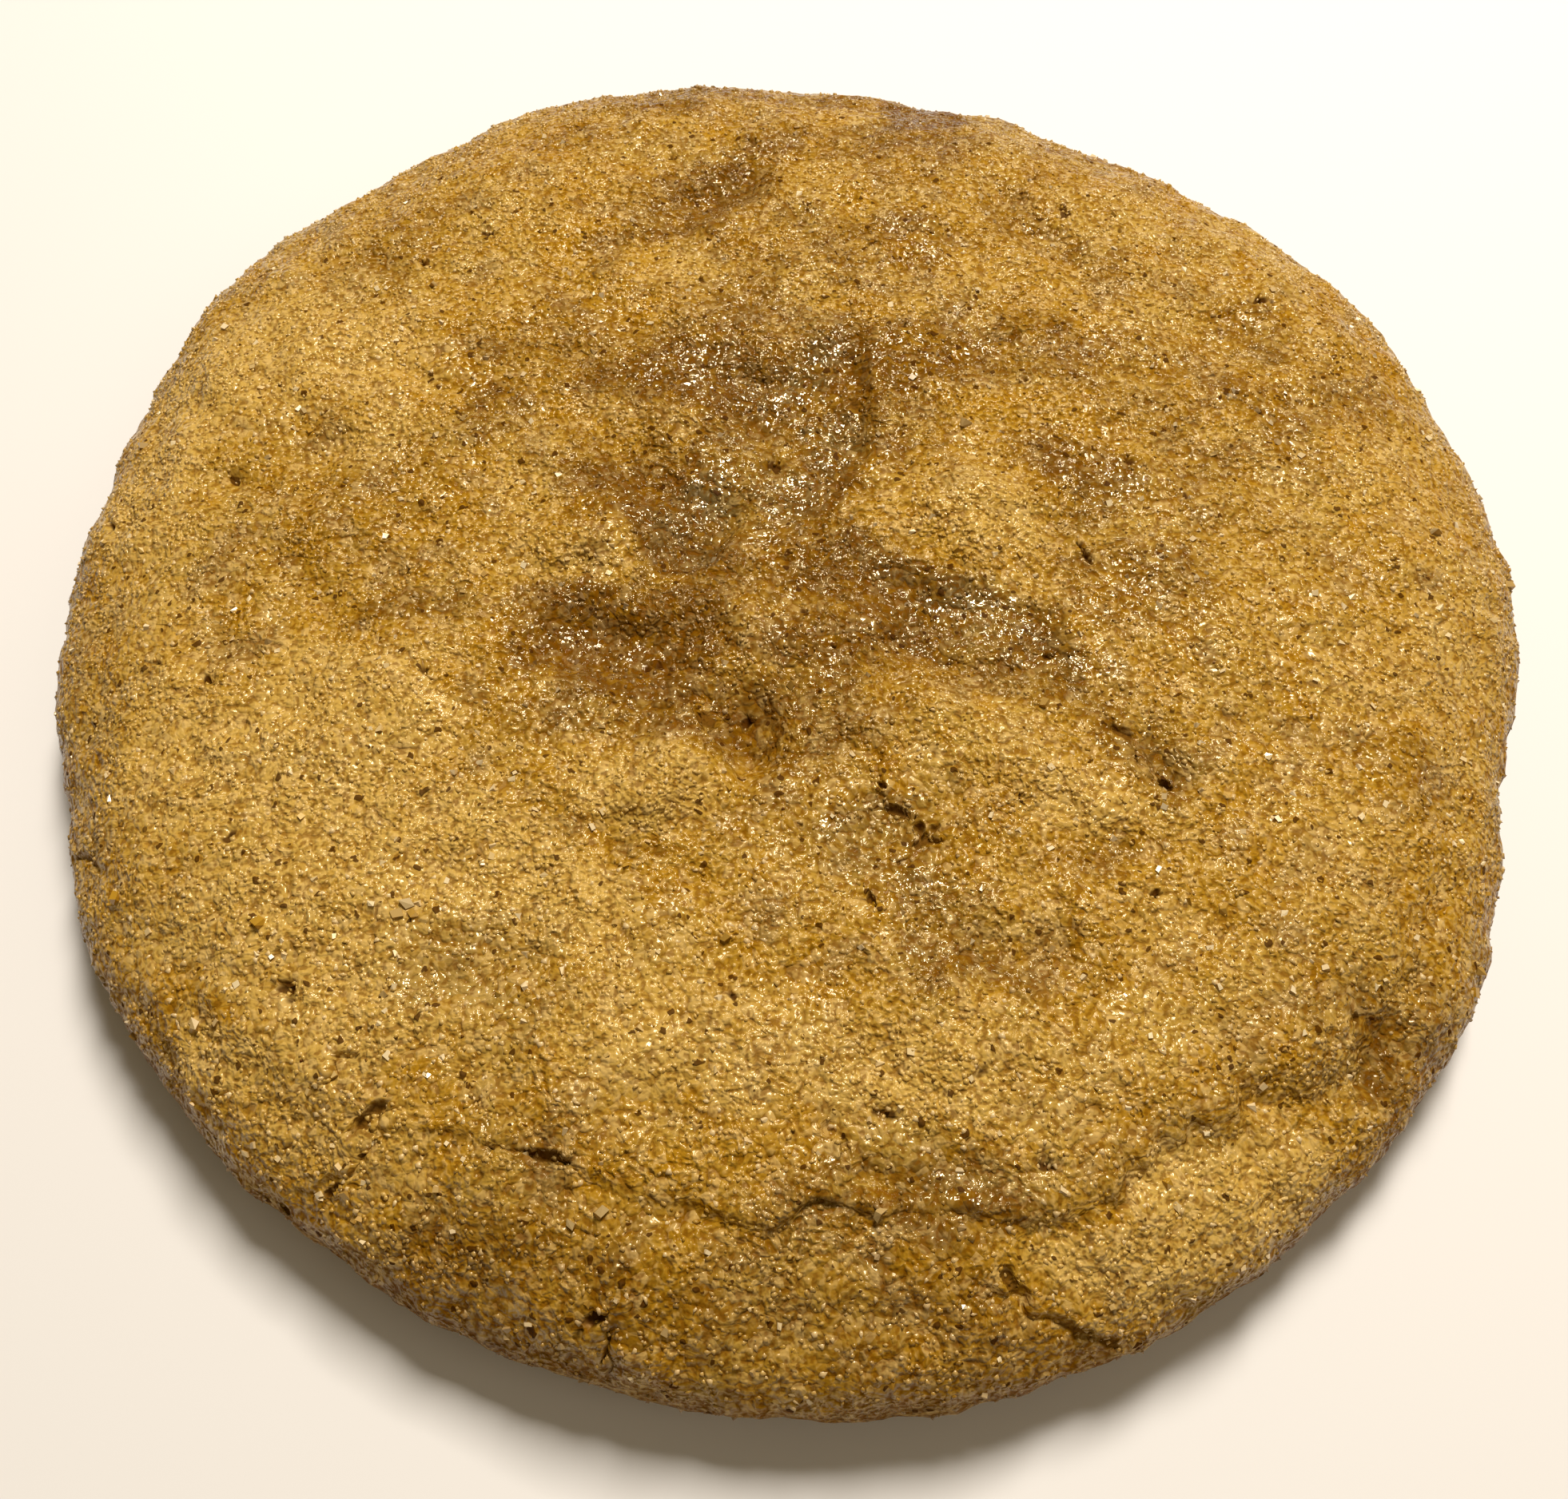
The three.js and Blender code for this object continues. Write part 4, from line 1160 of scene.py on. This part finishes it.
def grain_tree(name, material, blocks, scattered=True):
    tree, given, result = new_geometry_tree(name, GRAIN_SIZES)
    size = given.outputs
    points = scattered_points(tree, size) if scattered else size["Geometry"]
    tree.links.new(grains_on(tree, points, size, blocks, material), result.inputs[0])
    return tree


print("grains are", GRAIN_SIZES["Smallest"], "to", GRAIN_SIZES["Largest"], "mm from middle to side")

# %% [markdown]
# The finish of the sugar. A grain is so small and clear that it takes on the colour of the dough it
# lies in, and some of a pale colour of its own, by its tint. That pale colour shows only on the
# faces that look up, a painted light, and fades low on the side and where sugar melted. The sides
# of a grain are painted amber, a painted shade that stands in for light coming through the dough.
# Grains are made opaque here, which renders far faster than glass, and a glossy surface gives them
# their glint. Cinnamon takes the same finish, dark and dull.

# %% Sugar and cinnamon, scattered
GRAIN_GLINT = (1.0, 0.88, 0.65, 1)
DULL_GRAINS = 2  # times as rough as bright ones
SIDE_SHADE_BY_UPWARD = (0.1, 0.7, 0.6, 0)
TOP_LIGHT_BY_UPWARD = (0.1, 0.8, 0.3, 1)
PALE_BY_HEIGHT = (2.5, 7.5, 0.15, 1)
PALE_BY_MELTING = (0.1, 0.8, 1, 0.35)


def grain_material(name, pale, most, roughness, shine=0.65):
    """A finish with the colour of the dough and, at most, this share of the pale colour."""
    material, tree, shader = new_material(name)
    place = attribute(tree, "dough_place", "Vector")
    upward = attribute(tree, "upward")
    colour = attribute(tree, "dough_colour", "Color")
    # Painted shade on the sides of a grain, amber as if lit through the dough.
    colour = mixed(tree, eased(tree, upward, *SIDE_SHADE_BY_UPWARD), colour, AMBER_GRAIN)
    # Painted light: the pale share grows on the faces that look up.
    share = product(
        tree,
        eased(tree, attribute(tree, "tint"), 0, 1, 0, most),
        eased(tree, upward, *TOP_LIGHT_BY_UPWARD),
        eased(tree, rise_of(tree, place), *PALE_BY_HEIGHT),
        eased(tree, attribute(tree, "browned_and_shaded"), *PALE_BY_MELTING),
    )
    tree.links.new(mixed(tree, share, colour, pale), shader.inputs["Base Color"])
    rough = gloss_patches(tree, place, DULL_GRAINS * roughness, roughness)
    tree.links.new(rough, shader.inputs["Roughness"])
    shader.inputs["Specular IOR Level"].default_value = shine
    shader.inputs["Specular Tint"].default_value = GRAIN_GLINT
    return material


def scatter(name, material, blocks=False, **sizes):
    piece = bpy.data.objects.new(name, crust.data)
    bpy.context.scene.collection.objects.link(piece)
    settle(piece, grain_tree(name, material, blocks), {**GRAIN_SIZES, **sizes})
    piece.data.calc_loop_triangles()
    print(name, len(piece.data.loop_triangles), "triangles")
    return piece


golden = grain_material("golden_sugar", (0.61, 0.40, 0.13, 1), most=0.7, roughness=0.16)
pale = grain_material("pale_sugar", (0.70, 0.51, 0.25, 1), most=0.9, roughness=0.16)
clear = grain_material("clear_sugar", (0.80, 0.66, 0.40, 1), most=0.9, roughness=0.15)
cinnamon = grain_material("cinnamon", (0.09, 0.022, 0.001, 1), most=1.0, roughness=0.4, shine=0.15)
sugar_golden = scatter("sugar_golden", golden)
sugar_pale = scatter("sugar_pale", pale, Density=1.0, Smallest=0.14, Largest=0.34, Sunk=0.12, Seed=5)
sugar_clear = scatter("sugar_clear", clear, True, Density=0.14, Smallest=0.11, Largest=0.24, Seed=2)
specks = scatter(
    "cinnamon_specks", cinnamon, Density=0.06, Smallest=0.06, Largest=0.18, Sunk=0.03, Seed=3
)

# %% [markdown]
# Coarse crystals. Here and there a large clear crystal still lies on the crust. There are few enough
# to list one by one: a ray straight down finds the crust below each spot, and the same blocks go on
# these points, larger. Two spots close together make a clump.

# %% Coarse crystals on chosen spots, in millimetres
CRYSTAL_SPOTS = [
    (-11.7, -42.5), (-10.2, -42), (4.4, -42.1), (19.9, -40.3), (-24.2, -40.7), (-3.8, -27.4),
    (-22, -25.3), (-21.6, -25.9), (-22.5, -25.9), (-22.8, -30.4), (-30.5, -26.2), (-33.9, -31.5),
    (-40, -23.8), (-33.7, 11.1), (-45.7, 10.4), (-44.2, 26.3), (-26.1, 22.8), (18.2, 26),
    (11.7, 9.3), (15.2, -12.6), (24.4, -25.5), (39.9, -28.9), (40.6, -27.5), (42.8, 1.8), (48.4, -0.5),
]
CRYSTAL_SIZES = {**GRAIN_SIZES, "Smallest": 0.16, "Largest": 0.4, "Seed": 4}
ABOVE = 30  # where the rays start


def crystal_points(name):
    found = []
    for x, y in CRYSTAL_SPOTS:
        start = ((x - MIDDLE_X) * MM, (y - MIDDLE_Y) * MM, ABOVE * MM)
        hit, place, *_ = crust.ray_cast(start, (0, 0, -1))
        if hit:
            found.append(place)
    mesh = bpy.data.meshes.new(name)
    mesh.from_pydata(found, [], [])
    layer = mesh.attributes.new("dough_colour", "FLOAT_COLOR", "POINT")
    layer.data.foreach_set("color", GOLD * len(found))
    layer = mesh.attributes.new("dough_place", "FLOAT_VECTOR", "POINT")
    layer.data.foreach_set("vector", [v / MM for place in found for v in place])
    return mesh


coarse = grain_material("coarse_sugar", (0.46, 0.34, 0.16, 1), most=0.9, roughness=0.1, shine=1.0)
sugar_coarse = bpy.data.objects.new("sugar_coarse", crystal_points("sugar_coarse"))
bpy.context.scene.collection.objects.link(sugar_coarse)
settle(sugar_coarse, grain_tree("sugar_coarse", coarse, blocks=True, scattered=False), CRYSTAL_SIZES)
print("sugar_coarse", len(sugar_coarse.data.polygons), "faces")

# %% [markdown]
# The stage. A plain pale floor, a soft key light from behind and a little to the right, whose
# reflection glints on the grains, and a weaker, wider fill from the front right. A key from the
# camera's side would flatten the relief.

# %% Floor and lights
FLOOR_WIDTH = 4.0  # metres
FLOOR_GAP = 0.05 * MM  # keeps the floor and the flat underside from sharing a plane
FLOOR_COLOUR = (0.78, 0.76, 0.73, 1)
FLOOR_ROUGHNESS = 0.7
ROOM_COLOUR = (1.0, 0.80, 0.48, 1)
ROOM_STRENGTH = 0.15


def floor_material():
    material, _, shader = new_material("pale_floor")
    shader.inputs["Base Color"].default_value = FLOOR_COLOUR
    shader.inputs["Roughness"].default_value = FLOOR_ROUGHNESS
    return material


def add_floor():
    half = FLOOR_WIDTH / 2
    corners = [(x * half, y * half, -FLOOR_GAP) for x, y in ((-1, -1), (1, -1), (1, 1), (-1, 1))]
    mesh = bpy.data.meshes.new("floor")
    mesh.from_pydata(corners, [], [(0, 1, 2, 3)])
    mesh.materials.append(floor_material())
    floor = bpy.data.objects.new("floor", mesh)
    bpy.context.scene.collection.objects.link(floor)


def add_area_light(name, place, size, power, colour):
    """A soft light, in metres and watts, that faces the cookie."""
    light = bpy.data.lights.new(name, "AREA")
    light.shape = "RECTANGLE"
    light.size, light.size_y = size
    light.energy = power
    light.color = colour
    lamp = bpy.data.objects.new(name, light)
    lamp.location = place
    lamp.rotation_euler = (-lamp.location).to_track_quat("-Z", "Y").to_euler()
    bpy.context.scene.collection.objects.link(lamp)


def add_world():
    world = bpy.data.worlds.new("soft_room")
    world.use_nodes = True
    sky = world.node_tree.nodes["Background"]
    sky.inputs["Color"].default_value = ROOM_COLOUR
    sky.inputs["Strength"].default_value = ROOM_STRENGTH
    bpy.context.scene.world = world


add_floor()
add_area_light("key", (0.08, 0.26, 0.47), size=(0.12, 0.20), power=3.95, colour=(1.0, 0.935, 0.86))
add_area_light("fill", (0.40, -0.25, 0.45), size=(0.40, 0.40), power=0.5, colour=(1.0, 0.90, 0.74))
add_world()
bpy.context.scene.view_settings.view_transform = "Standard"
print("lights:", [light.name for light in bpy.data.lights])

# %% [markdown]
# The camera stands where the picture was taken from: 62 degrees above level, close to the
# cookie, with a wide lens. Blender gives a lens as a focal length over a sensor's width, so the
# focal length, found in pixels of the picture, is turned into millimetres on that sensor.

# %% The camera, in millimetres
PICTURE_WIDTH = 1962  # pixels
PICTURE_FOCAL = 1789.7  # pixels
CAMERA_ELEVATION = 62
CAMERA_DISTANCE = 94.25
CAMERA_AIM = (-0.58, -11.45, 4.0)
SENSOR_WIDTH = 36
NEAREST = 5  # what is closer to the camera isn't drawn


def add_camera():
    elevation = math.radians(CAMERA_ELEVATION)
    back = np.array([0, -math.cos(elevation), math.sin(elevation)])
    place = np.array(CAMERA_AIM) + CAMERA_DISTANCE * back - [MIDDLE_X, MIDDLE_Y, 0]
    data = bpy.data.cameras.new("picture_camera")
    data.sensor_width = SENSOR_WIDTH
    data.lens = PICTURE_FOCAL * SENSOR_WIDTH / PICTURE_WIDTH
    data.clip_start = NEAREST * MM
    camera = bpy.data.objects.new("picture_camera", data)
    camera.location = place * MM
    camera.rotation_euler = (math.pi / 2 - elevation, 0, 0)
    bpy.context.scene.collection.objects.link(camera)
    bpy.context.scene.camera = camera


add_camera()
print("camera at", [round(v, 4) for v in bpy.context.scene.camera.location])

# %% [markdown]
# Last, every piece says which body it rides on, and the imported solid is hidden, so that the
# crust stands in for it.

# %% Tie the pieces to the frame
for piece in (crust, sugar_golden, sugar_pale, sugar_clear, sugar_coarse, specks):
    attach(piece, "root")
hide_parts("cookie")
